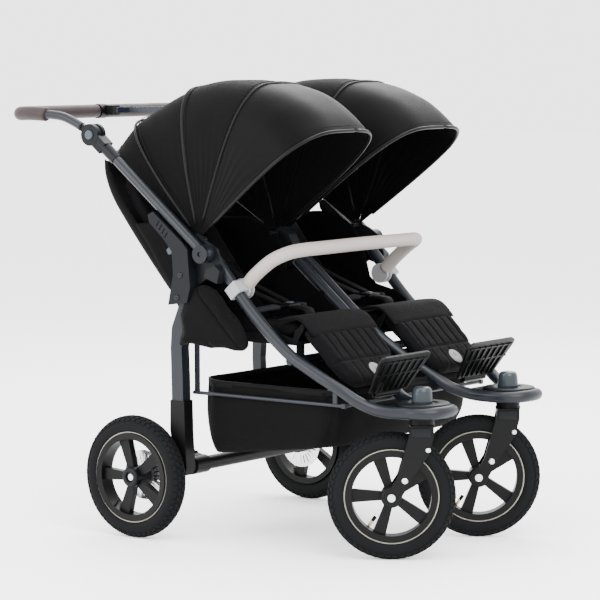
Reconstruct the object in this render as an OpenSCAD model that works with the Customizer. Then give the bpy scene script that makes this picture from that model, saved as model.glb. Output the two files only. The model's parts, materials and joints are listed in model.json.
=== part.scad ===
// Side-by-side twin all-terrain pushchair with a folding frame.
// Millimetres. +Z is up, the pushchair faces -Y, and the ground is z = 0.

/* [Frame] */
// Y of the rear axle, set so that the whole pushchair is centred on the origin
rear_axle_y = 192.5; // [150:0.5:230]
// Distance of each side frame tube from the middle
side_tube_x = 314; // [310:1:316]
// Distance of each of the two middle tubes from the middle
middle_tube_x = 18; // [17:1:20]
// Radius of the front frame tube
frame_tube_r = 14; // [12:0.5:14]
// Distance of each pusher tube from the middle
pusher_x = 346.5; // [346.5:0.5:347]
// Radius of the pusher tubes
pusher_tube_r = 12.5; // [10:0.5:12.5]
// Angle of the pusher above the horizontal
pusher_angle = 38.8; // [36:0.1:40]
// Distance from the fold pivot to the handle joint
pusher_length = 444; // [430:1:460]

/* [Push bar] */
// Radius of the push bar's metal tube
bar_tube_r = 11; // [9:0.5:12]
// Outer radius of the push bar's grips
bar_grip_r = 17.5; // [15:0.5:18]

/* [Wheels] */
// Outer radius of all four tyres
tyre_r = 150; // [150:1:150]
// Radius of a tyre's section
tyre_section_r = 24.4; // [22:0.1:24.4]
// Distance of each rear wheel's mid-plane from the middle
rear_wheel_x = 355; // [355:1:357]
// Number of spokes in a wheel
spoke_count = 5; // [3:1:7]
// Radius of the rear brake discs
disc_r = 61; // [50:1:65]

/* [Casters] */
// Distance of each swivel axis from the middle
swivel_x = 186; // [185:1:187]
// Distance of the swivel axes ahead of the rear axle
swivel_ahead = 730; // [728:1:732]
// Trail of the front wheels behind their swivel axis
trail = 71; // [65:1:72]
// Angle that both front wheels are swivelled to
swivel_angle = 34.5; // [0:0.5:40]

/* [Seats] */
// Distance of each seat's middle plane from the middle
seat_x = 166; // [166:1:166]
// Inner width of each seat
seat_w = 257; // [250:1:257]
// Length of each backrest
backrest_length = 495; // [450:5:495]
// Angle of the backrests above the horizontal
backrest_angle = 51; // [50:0.5:52]

/* [Hoods] */
// Distance of each hood's middle plane from the middle
hood_x = 172; // [172:1:172]
// Thickness of the hood cloth and its stiffening
hood_wall = 3; // [2:0.5:3]

/* [Hidden] */
$fn = 48;
SWEEP_SIDES = 14;
GRIP_SIDES = 16;
STEPS = 5;

// Pivots, as [y, z] with y counted from the rear axle.
boss = [-212, 703];
leg_pivot = [-150, 632];
hood_pivot = [-180, 735];
handle_pivot = boss + pusher_length * [cos(pusher_angle), sin(pusher_angle)];
backrest_pivot = [-190, 520];
knee_pivot = [-465, 540];
foot_pivot = [-628, 384];
axle = [0, tyre_r];
rear_bar = [-118, 178];
clamp_point = [-284, 619];
bar_front = [412, 1030];

web_x = 328.5;
web_t = 5;
pin_r = 6;
pin_gap = 0.06;
leg_pin_r = 5;
stud_r = 5;
knuckle_r = 18;
cheek_t = 3;
crown_z = 318;
plate_z = [336, 368];
rail_z = 360;

DARK = "#2b333f";
SLATE = "#3b4148";
BLACK = "#17181a";
CLOTH = "#1d1d20";
BROWN = "#4b3c3e";
GREIGE = "#beb6b2";

// ---------- helpers ----------

// Puts geometry that is drawn from the rear axle into the shared frame.
module placed() { translate([0, rear_axle_y, 0]) children(); }

// Draws geometry of the right side (+X), or its mirror image when side is -1.
module on_side(side) { mirror([side < 0 ? 1 : 0, 0, 0]) children(); }

// Draws geometry on both sides.
module both_sides() { for (side = [-1, 1]) on_side(side) children(); }

// A plate whose outline is given in the y-z plane and which runs from x0 to x1.
module side_plate(outline, x0, x1)
    translate([x0, 0, 0]) rotate([90, 0, 90]) linear_extrude(x1 - x0) polygon(outline);

// A cylinder along X between x0 and x1, centred on the [y, z] point at.
module x_cylinder(at, r, x0, x1)
    translate([x0, at[0], at[1]]) rotate([0, 90, 0]) cylinder(r = r, h = x1 - x0);

// A block given by its lowest and highest corners.
module block(low, high) translate(low) cube(high - low);

function unit(v) = v / norm(v);

// One point of a Catmull-Rom curve through b and c.
function curve_point(a, b, c, d, t) =
    0.5 * (2 * b + (c - a) * t + (2 * a - 5 * b + 4 * c - d) * t * t
        + (3 * b - a - 3 * c + d) * t * t * t);

// A smooth curve through all the points p, with n steps between neighbours.
function smooth_path(p, n = STEPS) = let (last = len(p) - 1) concat(
    [for (i = [0 : last - 1], k = [0 : n - 1])
        curve_point(p[max(i - 1, 0)], p[i], p[i + 1], p[min(i + 2, last)], k / n)],
    [p[last]]);

// The corners of one ring of a tube, across the direction along.
function ring(at, along, r, sides, ref) =
    let (u = unit(cross(along, ref)), v = unit(cross(u, along)))
    [for (k = [0 : sides - 1]) at + r * (cos(360 * k / sides) * u + sin(360 * k / sides) * v)];

// A round tube along a path. Only tubes without bores are made this way.
module tube(path, r, sides = SWEEP_SIDES, ref = [0, 0, 1]) {
    n = len(path);
    points = [for (i = [0 : n - 1])
        each ring(path[i], path[min(i + 1, n - 1)] - path[max(i - 1, 0)], r, sides, ref)];
    walls = [for (i = [0 : n - 2], k = [0 : sides - 1])
        let (a = i * sides + k, b = i * sides + (k + 1) % sides)
        each [[a, b, b + sides], [a, b + sides, a + sides]]];
    ends = [[for (k = [sides - 1 : -1 : 0]) k], [for (k = [0 : sides - 1]) (n - 1) * sides + k]];
    polyhedron(points, concat(walls, ends));
}

// ---------- front frame ----------

// The side tube comes down, wraps round the caster plate and returns up the middle.
function loop_points() = let (x = side_tube_x, m = middle_tube_x, s = swivel_x, y = -swivel_ahead) [
    [x, -222, 690], [x, -331, 567], [x, -433, 479], [x - 1, -514, 434], [x - 6, -578, 402],
    [x - 21, -628, 371], [x - 44, -672, 353], [s + 65, y + 5, 350], [s + 54, y - 40, 350],
    [s + 24, y - 66, 352], [s - 24, y - 66, 352], [s - 54, y - 40, 350], [s - 65, y + 5, 350],
    [s - 68, -665, 353], [s - 82, -610, 370], [m + 58, -560, 408], [m + 27, -512, 447],
    [m + 6, -462, 489], [m, -400, 539], [m, -330, 597], [m, -242, 670]];

module frame_loop(side) color(DARK) placed() on_side(side)
    tube(smooth_path(loop_points(), 4), frame_tube_r);

// The moulded plate in each front loop, with the bore that the swivel stem turns in.
module caster_plates() color(BLACK) placed() both_sides()
    difference() {
        union() {
            translate([swivel_x, -swivel_ahead, plate_z[0]]) cylinder(r = 51.5, h = plate_z[1] - plate_z[0]);
            translate([0, 0, plate_z[0]]) linear_extrude(plate_z[1] - plate_z[0] - 4) polygon([
                [swivel_x - 51, -swivel_ahead], [swivel_x + 51, -swivel_ahead],
                [swivel_x + 66, -652], [swivel_x - 53, -652]]);
        }
        translate([swivel_x, -swivel_ahead, plate_z[0] - 1]) cylinder(r = 8 + pin_gap, h = 40);
    }

// The casing that joins the side tube, the pusher and the rear leg on one side.
casing_web = [
    [-240, 716], [-212, 732], [-170, 748], [-158, 725], [-126, 702], [-126, 645], [-112, 577],
    [-170, 583], [-186, 628], [-214, 646], [-254, 634], [-262, 664]];
lock_block = [
    [-66, 800], [-50, 792], [-54, 774], [-98, 736], [-124, 706], [-128, 650], [-112, 577],
    [-170, 585], [-180, 622], [-172, 712], [-156, 729]];
arm_block = [[-214, 647], [-254, 634], [-262, 664], [-246, 678], [-238, 672], [-222, 668]];

module fold_casings() color(SLATE) placed() both_sides()
    difference() {
        union() {
            side_plate(casing_web, web_x, web_x + web_t);
            side_plate(lock_block, web_x + web_t, 362);
            side_plate(arm_block, web_x + web_t, 352);
            x_cylinder(hood_pivot, 14, web_x, web_x + web_t);
            x_cylinder(hood_pivot, pin_r, 302, web_x + 1);
            x_cylinder([-250, 657], 9, 316, web_x + 1);
        }
        x_cylinder(boss, pin_r + pin_gap, web_x - 1, 400);
        x_cylinder(leg_pivot, leg_pin_r, web_x - 1, 350);
        for (k = [0 : 3]) translate([362, -82 - 8.5 * k, 772 - 9 * k]) rotate([35, 0, 0])
            cube([4, 4, 15], center = true);
        x_cylinder([-132, 727], 13, 340, 356);
        block([340, -160, 690], [356, -105, 736]);
    }

// Bolts at the fold pivots and pins at the three leg pivots.
module pivot_pins() color("silver") placed() {
    both_sides() {
        difference() {
            union() {
                x_cylinder(boss, pin_r, web_x, 360);
                x_cylinder(boss, 22, 359.6, 365);
            }
            x_cylinder(boss, 7, 362, 366, $fn = 6);
        }
        x_cylinder(leg_pivot, leg_pin_r, 296, 345);
        x_cylinder(leg_pivot, 9, 292, 297.5);
    }
    x_cylinder(leg_pivot, leg_pin_r, -16, 16);
}

// The hub between the seats, which the middle tubes and the middle rear leg meet.
hub_plate = [[-238, 690], [-214, 732], [-192, 752], [-164, 748], [-132, 650], [-130, 620],
    [-150, 610], [-172, 622], [-214, 650], [-246, 662]];
module centre_joint() color(SLATE) placed() {
    both_sides() difference() {
        union() {
            side_plate(hub_plate, 12, 16);
            x_cylinder(hood_pivot, pin_r, 15, 42);
        }
        x_cylinder(leg_pivot, leg_pin_r, -20, 20);
    }
    side_plate([[-238, 690], [-214, 732], [-192, 750], [-176, 742], [-186, 668], [-240, 664]], -12, 12);
}

module front_crossbar() color(DARK) placed() x_cylinder([-440, 458], 10, -side_tube_x, side_tube_x);

// ---------- seats ----------

outer_cheek = [[-448, 494], [-205, 494], [-176, 512], [-178, 535], [-214, 640], [-236, 612],
    [-262, 590], [-318, 577], [-340, 566], [-400, 518], [-448, 508]];
inner_cheek = [[-448, 494], [-205, 494], [-176, 512], [-178, 535], [-200, 640], [-250, 652],
    [-330, 592], [-400, 540], [-448, 508]];
seat_in = seat_x - seat_w / 2;
seat_out = seat_x + seat_w / 2;

// The seat's floor and its two side walls, hung on the frame tubes.
module seat_shells() color(CLOTH) placed() both_sides() {
    side_plate(inner_cheek, seat_in - cheek_t, seat_in);
    side_plate(outer_cheek, seat_out, seat_out + cheek_t);
    block([seat_in - 1, -448, 494], [seat_out + 1, -205, 500]);
    x_cylinder([-330, 562], 8, seat_out, side_tube_x - 4);
    x_cylinder([-400, 503], 8, seat_out, side_tube_x - 4);
    x_cylinder([-330, 592], 8, middle_tube_x + 4, seat_in - 1);
    x_cylinder([-395, 540], 8, middle_tube_x + 4, seat_in - 1);
    x_cylinder(backrest_pivot, stud_r, seat_in - 1, seat_in + 14);
    x_cylinder(backrest_pivot, stud_r, seat_out - 14, seat_out + 1);
    for (x = [seat_in + 20, seat_out - 32]) block([x, -447, 466], [x + 12, -431, 495]);
}

// The padded seat cushions.
pad_outline = [[-222, 501], [-222, 534], [-250, 541], [-320, 539], [-400, 550], [-430, 552],
    [-445, 545], [-449, 530], [-445, 512], [-436, 501]];
module seat_pads() color(CLOTH) placed() both_sides()
    side_plate(pad_outline, seat_in + 2, seat_out - 2);

// A padded backrest, drawn along its own length and leaned back about its hinge.
module backrest(side) color(CLOTH) placed() on_side(side)
    translate([seat_x, backrest_pivot[0], backrest_pivot[1]]) rotate([backrest_angle, 0, 0])
    difference() {
        translate([0, 0, -30]) linear_extrude(42) polygon([
            [-124, -12], [124, -12], [124, 380], [108, 455], [70, backrest_length],
            [-70, backrest_length], [-108, 455], [-124, 380]]);
        for (x = [-130, 105]) translate([x, 0, 0]) rotate([0, 90, 0]) cylinder(r = stud_r + 0.08, h = 25);
        translate([-130, -14, -40]) cube([260, 14 - 9, 19]);
    }

// A padded leg-rest, hinged at the knee, with the two lugs that carry the footrest.
foot_along = 225.6;
foot_up = 5;
module leg_rest(side) color(CLOTH) placed() on_side(side)
    translate([seat_x, knee_pivot[0], knee_pivot[1]]) rotate([45, 0, 0]) {
        difference() {
            translate([0, 0, -6]) linear_extrude(18) polygon([
                [-125.5, -8], [125.5, -8], [125.5, -120], [112, -196], [-84, -196], [-112, -120]]);
            translate([-140, 0, 0]) rotate([0, 90, 0]) cylinder(r = 5.08, h = 300);
        }
        for (x = [swivel_x - seat_x - 58, swivel_x - seat_x + 50]) {
            side_plate([[-190, -3], [-190, 9], [-foot_along, foot_up + 6],
                [-foot_along, foot_up - 6]], x, x + 8);
            x_cylinder([-foot_along, foot_up], 7, x, x + 8);
        }
        x_cylinder([-foot_along, foot_up], 3.5, swivel_x - seat_x - 51, swivel_x - seat_x + 51);
    }

// The rods that the leg-rests turn on, and their lugs on the seat shells.
module knee_rods() both_sides() {
    x_cylinder(knee_pivot, 5, seat_in - cheek_t - 1, seat_out + cheek_t + 1);
    for (x = [seat_in - cheek_t - 1, seat_out + cheek_t - 3])
        side_plate([[-470, 534], [-470, 546], [-446, 530], [-436, 500], [-446, 496]], x, x + 4);
}

// A ribbed footplate on its hinge barrel, wider at the top.
footplate = [[-76, 7.2], [76, 7.2], [88, 50], [102, 96], [98, 108], [86, 112], [-86, 112],
    [-98, 108], [-102, 96], [-88, 50]];
module footrest(side) color(BLACK) placed() on_side(side)
    translate([swivel_x, foot_pivot[0], foot_pivot[1]]) rotate([31.5, 0, 0]) difference() {
        union() {
            translate([0, 2, 0]) rotate([90, 0, 0]) linear_extrude(6) polygon(footplate);
            for (k = [-3 : 3]) translate([21.4 * k, 0, 12]) rotate([0, 3 * k, 0])
                block([-2.2, -8, 0], [2.2, -3, 88]);
            for (z = [60, 94]) block([-84 - z / 10, -7, z], [84 + z / 10, -2.5, z + 4]);
            x_cylinder([0, 0], 8, -47.5, 47.5);
            block([-47.5, -3.4, 0], [47.5, 1.4, 10]);
        }
        x_cylinder([0, 0], 3.5 + pin_gap, -50, 50);
        for (x = [-61, 48.5]) block([x, -10, 0], [x + 12.5, 10, 40]);
    }

// ---------- bumper bar ----------

module bumper_clamps() color("#b9b9b9") placed() both_sides() {
    difference() {
        union() {
            translate([side_tube_x, clamp_point[0], clamp_point[1]]) rotate([48, 0, 0])
                translate([-17, -16, -17.5]) cube([35, 30, 35]);
            x_cylinder(clamp_point, 25, 276, 297);
        }
        x_cylinder(clamp_point, 30, 283, 290);
    }
    x_cylinder(clamp_point, 6, 276, 297);
}

// The foam-covered bar across both seats.
function bumper_points() = let (x = 286.5) [
    [x, clamp_point[0], clamp_point[1]], [x, -322, 656], [x - 5, -366, 690], [x - 24, -404, 709],
    [x - 60, -424, 715], [x - 110, -430, 716], [0, -432, 717]];
module bumper_bar() color(GREIGE) placed() {
    half = smooth_path(bumper_points(), 4);
    path = concat(
        [for (i = [4 : len(half) - 1]) half[i]],
        [for (i = [len(half) - 2 : -1 : 4]) [-half[i][0], half[i][1], half[i][2]]]);
    tube(path, 16.5, GRIP_SIDES);
    both_sides() difference() {
        union() {
            x_cylinder(clamp_point, 22, 283.4, 289.6);
            translate([286.5, clamp_point[0], clamp_point[1]]) rotate([46, 0, 0])
                translate([-3.1, -10, 0]) cube([6.2, 20, 56]);
        }
        x_cylinder(clamp_point, 6 + pin_gap, 280, 295);
    }
}

// ---------- basket ----------

// An open tub that hangs between the legs, the seats and the casters.
basket_outline = [[-138, 388], [-152, 214], [-170, 208], [-340, 226], [-500, 250], [-530, 266],
    [-548, 312], [-572, 372], [-540, 388]];
basket_hollow = [[-142.5, 400], [-156, 218], [-171, 212.5], [-339, 230.5], [-499, 254.5],
    [-526, 269], [-543.5, 313], [-569, 378], [-560, 400]];
module basket() color(CLOTH) placed()
    difference() {
        side_plate(basket_outline, -284, 284);
        side_plate(basket_hollow, -280, 280);
    }

// The thin rails that carry the basket's rim, and the hangers that hold them.
module basket_rails() color(DARK) placed() {
    both_sides() {
        translate([290, -582, rail_z]) rotate([-90, 0, 0]) cylinder(r = 4.5, h = 450);
        block([284.5, -588, rail_z - 5.5], [295.5, -576, rail_z + 5.5]);
        block([288, -562, rail_z], [292, -550, 402]);
        block([288, -562, 396], [312, -550, 402]);
        block([288, -150, rail_z], [292, -136, 490]);
        block([291.5, -214, 486], [297, -136, 495]);
    }
    x_cylinder([-582, rail_z], 4.5, -288, 288);
}

// The zipped pouch on the outside of the left side frame.
pouch_outline = [[-160, 480], [-164, 570], [-176, 578], [-184, 612], [-214, 640], [-250, 628],
    [-292, 588], [-332, 544], [-350, 492], [-340, 474], [-310, 466], [-200, 474]];
module side_pouch() color(CLOTH) placed() on_side(-1) side_plate(pouch_outline, 334, 352);

// ---------- hoods ----------

// The arch of a hood panel: half its width at the sides, and its radius from the pivot axis.
function arch(w, r, n = 14) = let (h = 120) concat(
    [for (k = [0 : n]) let (t = 90 * k / n)
        [r - h + h * pow(sin(t), 0.8), w * pow(cos(t), 0.8)]],
    [for (k = [n - 1 : -1 : 0]) let (t = 90 * k / n)
        [r - h + h * pow(sin(t), 0.8), -w * pow(cos(t), 0.8)]]);

// One curved hood panel, from angle a0 to a1 above the forward horizontal.
module hood_panel(side, w, r, a0, a1) placed() on_side(side)
    translate([hood_x, hood_pivot[0], hood_pivot[1]]) {
        rotate([-a0, 0, 0]) rotate([0, 90, 0]) rotate([0, 0, -90])
            mirror([0, 1, 0]) rotate_extrude(angle = a1 - a0) difference() {
                polygon(concat([[14, w]], arch(w, r), [[14, -w]]));
                polygon(concat([[0, w - hood_wall]], arch(w - hood_wall, r - hood_wall),
                    [[0, -w + hood_wall]]));
            }
        for (x = [-w, w - hood_wall]) difference() {
            x_cylinder([0, 0], 17, x + 0.4, x + hood_wall - 0.4);
            x_cylinder([0, 0], pin_r + pin_gap, x - 1, x + hood_wall + 1);
        }
    }

module hood_rear_panels() color(CLOTH) for (side = [-1, 1]) hood_panel(side, 135, 368, 103, 133);
module hood_mid_panel(side) color(CLOTH) hood_panel(side, 145, 383, 68, 105);
module hood_visor(side) color(BLACK) hood_panel(side, 154.5, 402, 37.5, 70);

// ---------- pusher and push bar ----------

// Draws geometry along the pusher: +Y from the fold pivot towards the handle joint.
module along_pusher(x) translate([x, boss[0], boss[1]]) rotate([pusher_angle, 0, 0]) children();

module pusher_tubes() color(DARK) placed() both_sides()
    difference() {
        union() {
            x_cylinder(boss, 22, 335, 358);
            along_pusher(pusher_x) translate([0, 12, 0]) rotate([-90, 0, 0])
                cylinder(r = pusher_tube_r, h = pusher_length - 70);
        }
        x_cylinder(boss, pin_r + pin_gap, 300, 400);
        along_pusher(pusher_x) translate([0, 23, 0]) rotate([-90, 0, 0])
            cylinder(r = pusher_tube_r - 2, h = pusher_length);
    }

housing_slot = [340, 352];
module handle_joint_housings() color(SLATE) placed() both_sides()
    difference() {
        union() {
            x_cylinder(handle_pivot, 27, 331, 362);
            along_pusher(pusher_x) translate([0, pusher_length - 96, 0]) rotate([-90, 0, 0])
                cylinder(r1 = 14.5, r2 = 16, h = 66);
            along_pusher(pusher_x) block([-15, pusher_length - 52, -16], [15, pusher_length - 8, 16]);
        }
        x_cylinder(handle_pivot, 28.5, housing_slot[0], housing_slot[1]);
        x_cylinder(handle_pivot, 11.3, housing_slot[1] - 1, 365);
        along_pusher(pusher_x) translate([0, pusher_length - 97, 0]) rotate([-90, 0, 0])
            cylinder(r = pusher_tube_r, h = 39);
    }

// The push bar's path from its right-hand joint, round the corner, to its middle.
function bar_points() = let (p = handle_pivot, b = bar_front) [
    [pusher_x, p[0] + 38, p[1] + 19], [pusher_x, p[0] + 64, p[1] + 31],
    [pusher_x, p[0] + 105, p[1] + 44], [pusher_x, p[0] + 170, b[1]], [pusher_x - 3, b[0] - 66, b[1] + 1],
    [pusher_x - 16, b[0] - 26, b[1]], [pusher_x - 48, b[0] - 3, b[1]], [pusher_x - 100, b[0], b[1]],
    [0, b[0], b[1]]];
function bar_path() = let (half = smooth_path(bar_points(), 4), n = len(half)) concat(
    half, [for (i = [n - 2 : -1 : 0]) [-half[i][0], half[i][1], half[i][2]]]);

module push_bar_frame() color(DARK) placed() tube(bar_path(), bar_tube_r);

// The flat ends of the push bar, which turn in the handle joint housings.
module push_bar_lugs() color(SLATE) placed() both_sides()
    difference() {
        union() {
            x_cylinder(handle_pivot, 24, housing_slot[0] + 0.4, housing_slot[1] - 0.4);
            translate([346, handle_pivot[0], handle_pivot[1]]) rotate([26.5, 0, 0])
                block([-5, 0, -9], [5, 50, 9]);
        }
        x_cylinder(handle_pivot, 6, 300, 400);
    }

// The leather-covered grips, one on each half of the push bar.
module push_bar_grips() color(BROWN) placed() {
    path = bar_path();
    middle = (len(path) - 1) / 2;
    grip = [for (i = [9 : middle - 1]) path[i]];
    end = [14, bar_front[0], bar_front[1]];
    both_sides() difference() {
        tube(concat(grip, [end]), bar_grip_r, GRIP_SIDES);
        tube(concat([path[8]], grip, [end, end - [10, 0, 0]]), bar_tube_r + 0.1);
    }
}

lever_hinge = [20, bar_front[0] - 32];
module brake_bracket() color(BLACK) placed()
    difference() {
        union() {
            x_cylinder(bar_front, 19, -13, 13);
            block([2, lever_hinge[1] - 9, bar_front[1] - 10], [30, bar_front[0], bar_front[1] - 5]);
            block([2, lever_hinge[1] - 9, bar_front[1] - 10], [11, bar_front[0], bar_front[1] + 12]);
            block([2, lever_hinge[1] - 9, bar_front[1] + 10], [30, bar_front[0] - 10, bar_front[1] + 15]);
            translate([lever_hinge[0], lever_hinge[1], bar_front[1] - 8]) cylinder(r = 3, h = 20);
        }
        x_cylinder(bar_front, bar_tube_r + 0.1, -20, 13.5);
        x_cylinder(bar_front, bar_grip_r + 0.5, 13.4, 40);
    }

// The hand-brake lever in front of the right half of the push bar.
module hand_brake_lever() color("#232b3a") placed()
    translate([lever_hinge[0], lever_hinge[1], bar_front[1] - 4.5]) difference() {
        union() {
            cylinder(r = 8, h = 14);
            linear_extrude(14) polygon([[0, -7], [40, -16], [180, -42], [226, -48], [232, -42],
                [226, -36], [180, -28], [40, 0], [4, 7]]);
        }
        translate([0, 0, -1]) cylinder(r = 3 + pin_gap, h = 20);
    }

module angle_button(side) color("#6b7a88") placed() on_side(side)
    x_cylinder(handle_pivot, 11, 356.5, 366);

// The fold lever on the rear of each casing.
fold_lever_pin = [-132, 727];
module fold_lever(side) color("#9aa6ae") placed() on_side(side)
    difference() {
        union() {
            x_cylinder(fold_lever_pin, 9, 341, 355);
            side_plate([[-137, 720], [-126, 732], [-102, 708], [-108, 698], [-118, 700]], 341, 355);
        }
        x_cylinder(fold_lever_pin, 3 + pin_gap, 330, 370);
    }
module fold_lever_pins() both_sides() x_cylinder(fold_lever_pin, 3, 338, 358);

// ---------- rear frame ----------

leg_outline = [[-166, 640], [-154, 650], [-136, 642], [-116, 570], [-95, 520], [-91, 470],
    [-93, 400], [-94, 330], [-129, 330], [-128, 400], [-125, 470], [-134, 540], [-152, 592]];
module rear_legs() color(DARK) placed() both_sides()
    difference() {
        union() {
            side_plate(leg_outline, 299, 328);
            x_cylinder(leg_pivot, knuckle_r, 299, 328);
        }
        x_cylinder(leg_pivot, leg_pin_r + pin_gap, 290, 335);
    }

module centre_leg() color(DARK) placed()
    difference() {
        union() {
            side_plate([[-163, 640], [-137, 642], [-98, 500], [-96, 420], [-104, 190], [-130, 190],
                [-122, 420], [-128, 500]], -11.5, 11.5);
            x_cylinder(leg_pivot, knuckle_r, -11.5, 11.5);
        }
        x_cylinder(leg_pivot, leg_pin_r + pin_gap, -20, 20);
        x_cylinder(rear_bar, 17, -20, 20);
    }

// Moulded sleeves on the feet of the legs, which reach back to the axle.
sleeve_outline = [[-133, 342], [-90, 342], [-89, 270], [-96, 225], [-96, 160], [-134, 160],
    [-140, 178], [-135, 262]];
arm_outline = [[-100, 236], [-70, 212], [4, 172], [20, 158], [20, 140], [8, 130], [-8, 130], [-72, 150],
    [-118, 158]];
module leg_sleeves() color(BLACK) placed() both_sides()
    difference() {
        union() {
            side_plate(sleeve_outline, 296, 329.5);
            side_plate(arm_outline, 297, 315);
        }
        side_plate([[-129, 330], [-94, 330], [-94, 350], [-129, 350]], 299, 328);
        x_cylinder(axle, 8, 290, 340);
        x_cylinder(rear_bar, 17, 280, 300);
    }

module rear_cross_bar() color(BLACK) placed() x_cylinder(rear_bar, 17, -300, 300);

module rear_axles() color("silver") placed() both_sides() {
    x_cylinder(axle, 8, 297, 374.5);
    x_cylinder(axle, 14, 292, 297);
}

module brake_calipers() color(BLACK) placed() both_sides()
    difference() {
        union() {
            side_plate([[-62, 168], [-30, 190], [-34, 208], [-62, 206], [-74, 186]], 312, 327);
        }
        side_plate([[-64, 140], [-20, 140], [-20, 212], [-66, 212]], 318.8, 322.8);
    }

// The serrated foot pedal that locks both rear wheels.
module brake_pedal() color(BLACK) placed() translate([0, rear_bar[0], rear_bar[1]])
    difference() {
        union() {
            x_cylinder([0, 0], 22, -284, -232);
            side_plate([[4, 14], [8, 22], [58, 34], [66, 28], [62, 22], [18, 8]], -284, -232);
            for (k = [0 : 4]) side_plate([[18 + 9 * k, 23 + 2.2 * k], [21 + 9 * k, 30 + 2.2 * k],
                [24 + 9 * k, 24 + 2.2 * k]], -282, -234);
        }
        x_cylinder([0, 0], 17 + pin_gap, -300, -200);
    }

// ---------- wheels ----------

// A wheel part drawn about the X axis at the origin, with the outside towards +X.
module about_x() rotate([0, 90, 0]) children();

// Rim, spokes and hub. hub gives where the hub starts and ends along the axle.
module rim(hub, bore_r) about_x()
    difference() {
        union() {
            rotate_extrude() polygon([[93, -20], [108, -21.5], [108, -17.6], [101, -10], [101, 10],
                [108, 17.6], [108, 21.5], [93, 20]]);
            for (k = [0 : spoke_count - 1]) rotate([0, 0, 360 * k / spoke_count + 18])
                translate([0, 0, -8]) linear_extrude(18) polygon([[14, -9], [96, -15.5],
                    [96, 15.5], [14, 9]]);
            translate([0, 0, hub[0]]) cylinder(r = 25, h = hub[1] - hub[0]);
            rotate([0, 0, 36]) translate([70, 0, 13]) rotate([0, 90, 0]) cylinder(r = 3, h = 26);
        }
        translate([0, 0, hub[0] - 1]) cylinder(r = bore_r + pin_gap, h = hub[1] - hub[0] + 2);
    }

module tyre() about_x() rotate_extrude() translate([tyre_r - tyre_section_r, 0]) circle(r = tyre_section_r);

module rear_place(side) placed() on_side(side) translate([rear_wheel_x, axle[0], axle[1]]) children();

module rear_rim(side) color(BLACK) rear_place(side) rim([-31, 20], 8);
module rear_tyre(side) color("#26292e") rear_place(side) tyre();

// A silver brake disc with radial slots, fixed to the wheel's inner face.
module brake_disc(side) color("silver") rear_place(side) translate([-35.7, 0, 0]) about_x()
    difference() {
        union() {
            cylinder(r = disc_r, h = 3);
            cylinder(r = 22, h = 4.6);
        }
        translate([0, 0, -1]) cylinder(r = 8.4, h = 8);
        for (k = [0 : 23]) rotate([0, 0, 15 * k]) translate([30, -1.6, -1]) cube([22, 3.2, 6]);
    }

// Draws geometry about a caster's swivel axis, with the wheel trailing towards +Y.
module caster_place(side)
    placed() translate([side * swivel_x, -swivel_ahead, 0]) rotate([0, 0, swivel_angle]) children();

fork_leg = [[-27, crown_z], [27, crown_z], [32, 288], [58, 196], [88, 150], [70, 132], [48, 150],
    [22, 196], [-16, 252], [-27, 292]];
module caster_fork(side) color(BLACK) caster_place(side)
    difference() {
        union() {
            for (x = [-36.5, 30.5]) {
                side_plate(fork_leg, x, x + 6);
                x_cylinder([trail, tyre_r], 20, x, x + 6);
            }
            block([-36.5, -27, 305], [36.5, 27, crown_z]);
            translate([0, 0, crown_z - 1]) cylinder(r = 28, h = plate_z[0] - crown_z + 0.6);
            translate([0, 0, crown_z]) cylinder(r = 8, h = 366 - crown_z);
        }
        x_cylinder([trail, tyre_r], 6, -40, 40);
        translate([0, 0, 345]) cylinder(r = 4.5, h = 30);
    }

module caster_axle(side) color("silver") caster_place(side) {
    x_cylinder([trail, tyre_r], 6, -37, 37);
    for (x = [-40.5, 36.5]) x_cylinder([trail, tyre_r], 9, x, x + 4);
}

module front_rim(side) color(BLACK) caster_place(side) translate([0, trail, tyre_r]) rim([-26, 26], 6);
module front_tyre(side) color("#26292e") caster_place(side) translate([0, trail, tyre_r]) tyre();

// The domed knob on each caster plate, with its lock pin in the swivel stem.
module swivel_knob(side) color("#50606a") placed() translate([side * swivel_x, -swivel_ahead, 0]) {
    translate([0, 0, plate_z[1] + 0.6]) rotate_extrude() polygon([[0, 0], [24.6, 0], [25, 4],
        [23.8, 20], [22.4, 29], [21, 33], [18, 36], [13, 37.6], [0, 38]]);
    translate([0, 0, 350]) cylinder(r = 4, h = 22);
}

// ---------- assembly ----------

frame_loop(-1);  // frame_loop_left
frame_loop(1);  // frame_loop_right
caster_plates();
union() { fold_casings(); color(SLATE) placed() fold_lever_pins(); }
pivot_pins();
centre_joint();
front_crossbar();
union() { seat_shells(); color(CLOTH) placed() knee_rods(); }
seat_pads();
basket();
basket_rails();
side_pouch();
bumper_clamps();
hood_rear_panels();
pusher_tubes();
handle_joint_housings();
push_bar_frame();
push_bar_lugs();
push_bar_grips();
brake_bracket();
hand_brake_lever();
angle_button(-1);  // angle_button_left
angle_button(1);  // angle_button_right
fold_lever(-1);  // fold_lever_left
fold_lever(1);  // fold_lever_right
rear_legs();
centre_leg();
leg_sleeves();
rear_cross_bar();
rear_axles();
brake_calipers();
brake_pedal();
rear_rim(-1);  // rear_rim_left
rear_rim(1);  // rear_rim_right
rear_tyre(-1);  // rear_tyre_left
rear_tyre(1);  // rear_tyre_right
brake_disc(-1);  // brake_disc_left
brake_disc(1);  // brake_disc_right
caster_fork(-1);  // caster_fork_left
caster_fork(1);  // caster_fork_right
caster_axle(-1);  // caster_axle_left
caster_axle(1);  // caster_axle_right
front_rim(-1);  // front_rim_left
front_rim(1);  // front_rim_right
front_tyre(-1);  // front_tyre_left
front_tyre(1);  // front_tyre_right
swivel_knob(-1);  // swivel_knob_left
swivel_knob(1);  // swivel_knob_right
backrest(-1);  // backrest_left
backrest(1);  // backrest_right
hood_mid_panel(-1);  // hood_mid_panel_left
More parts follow.
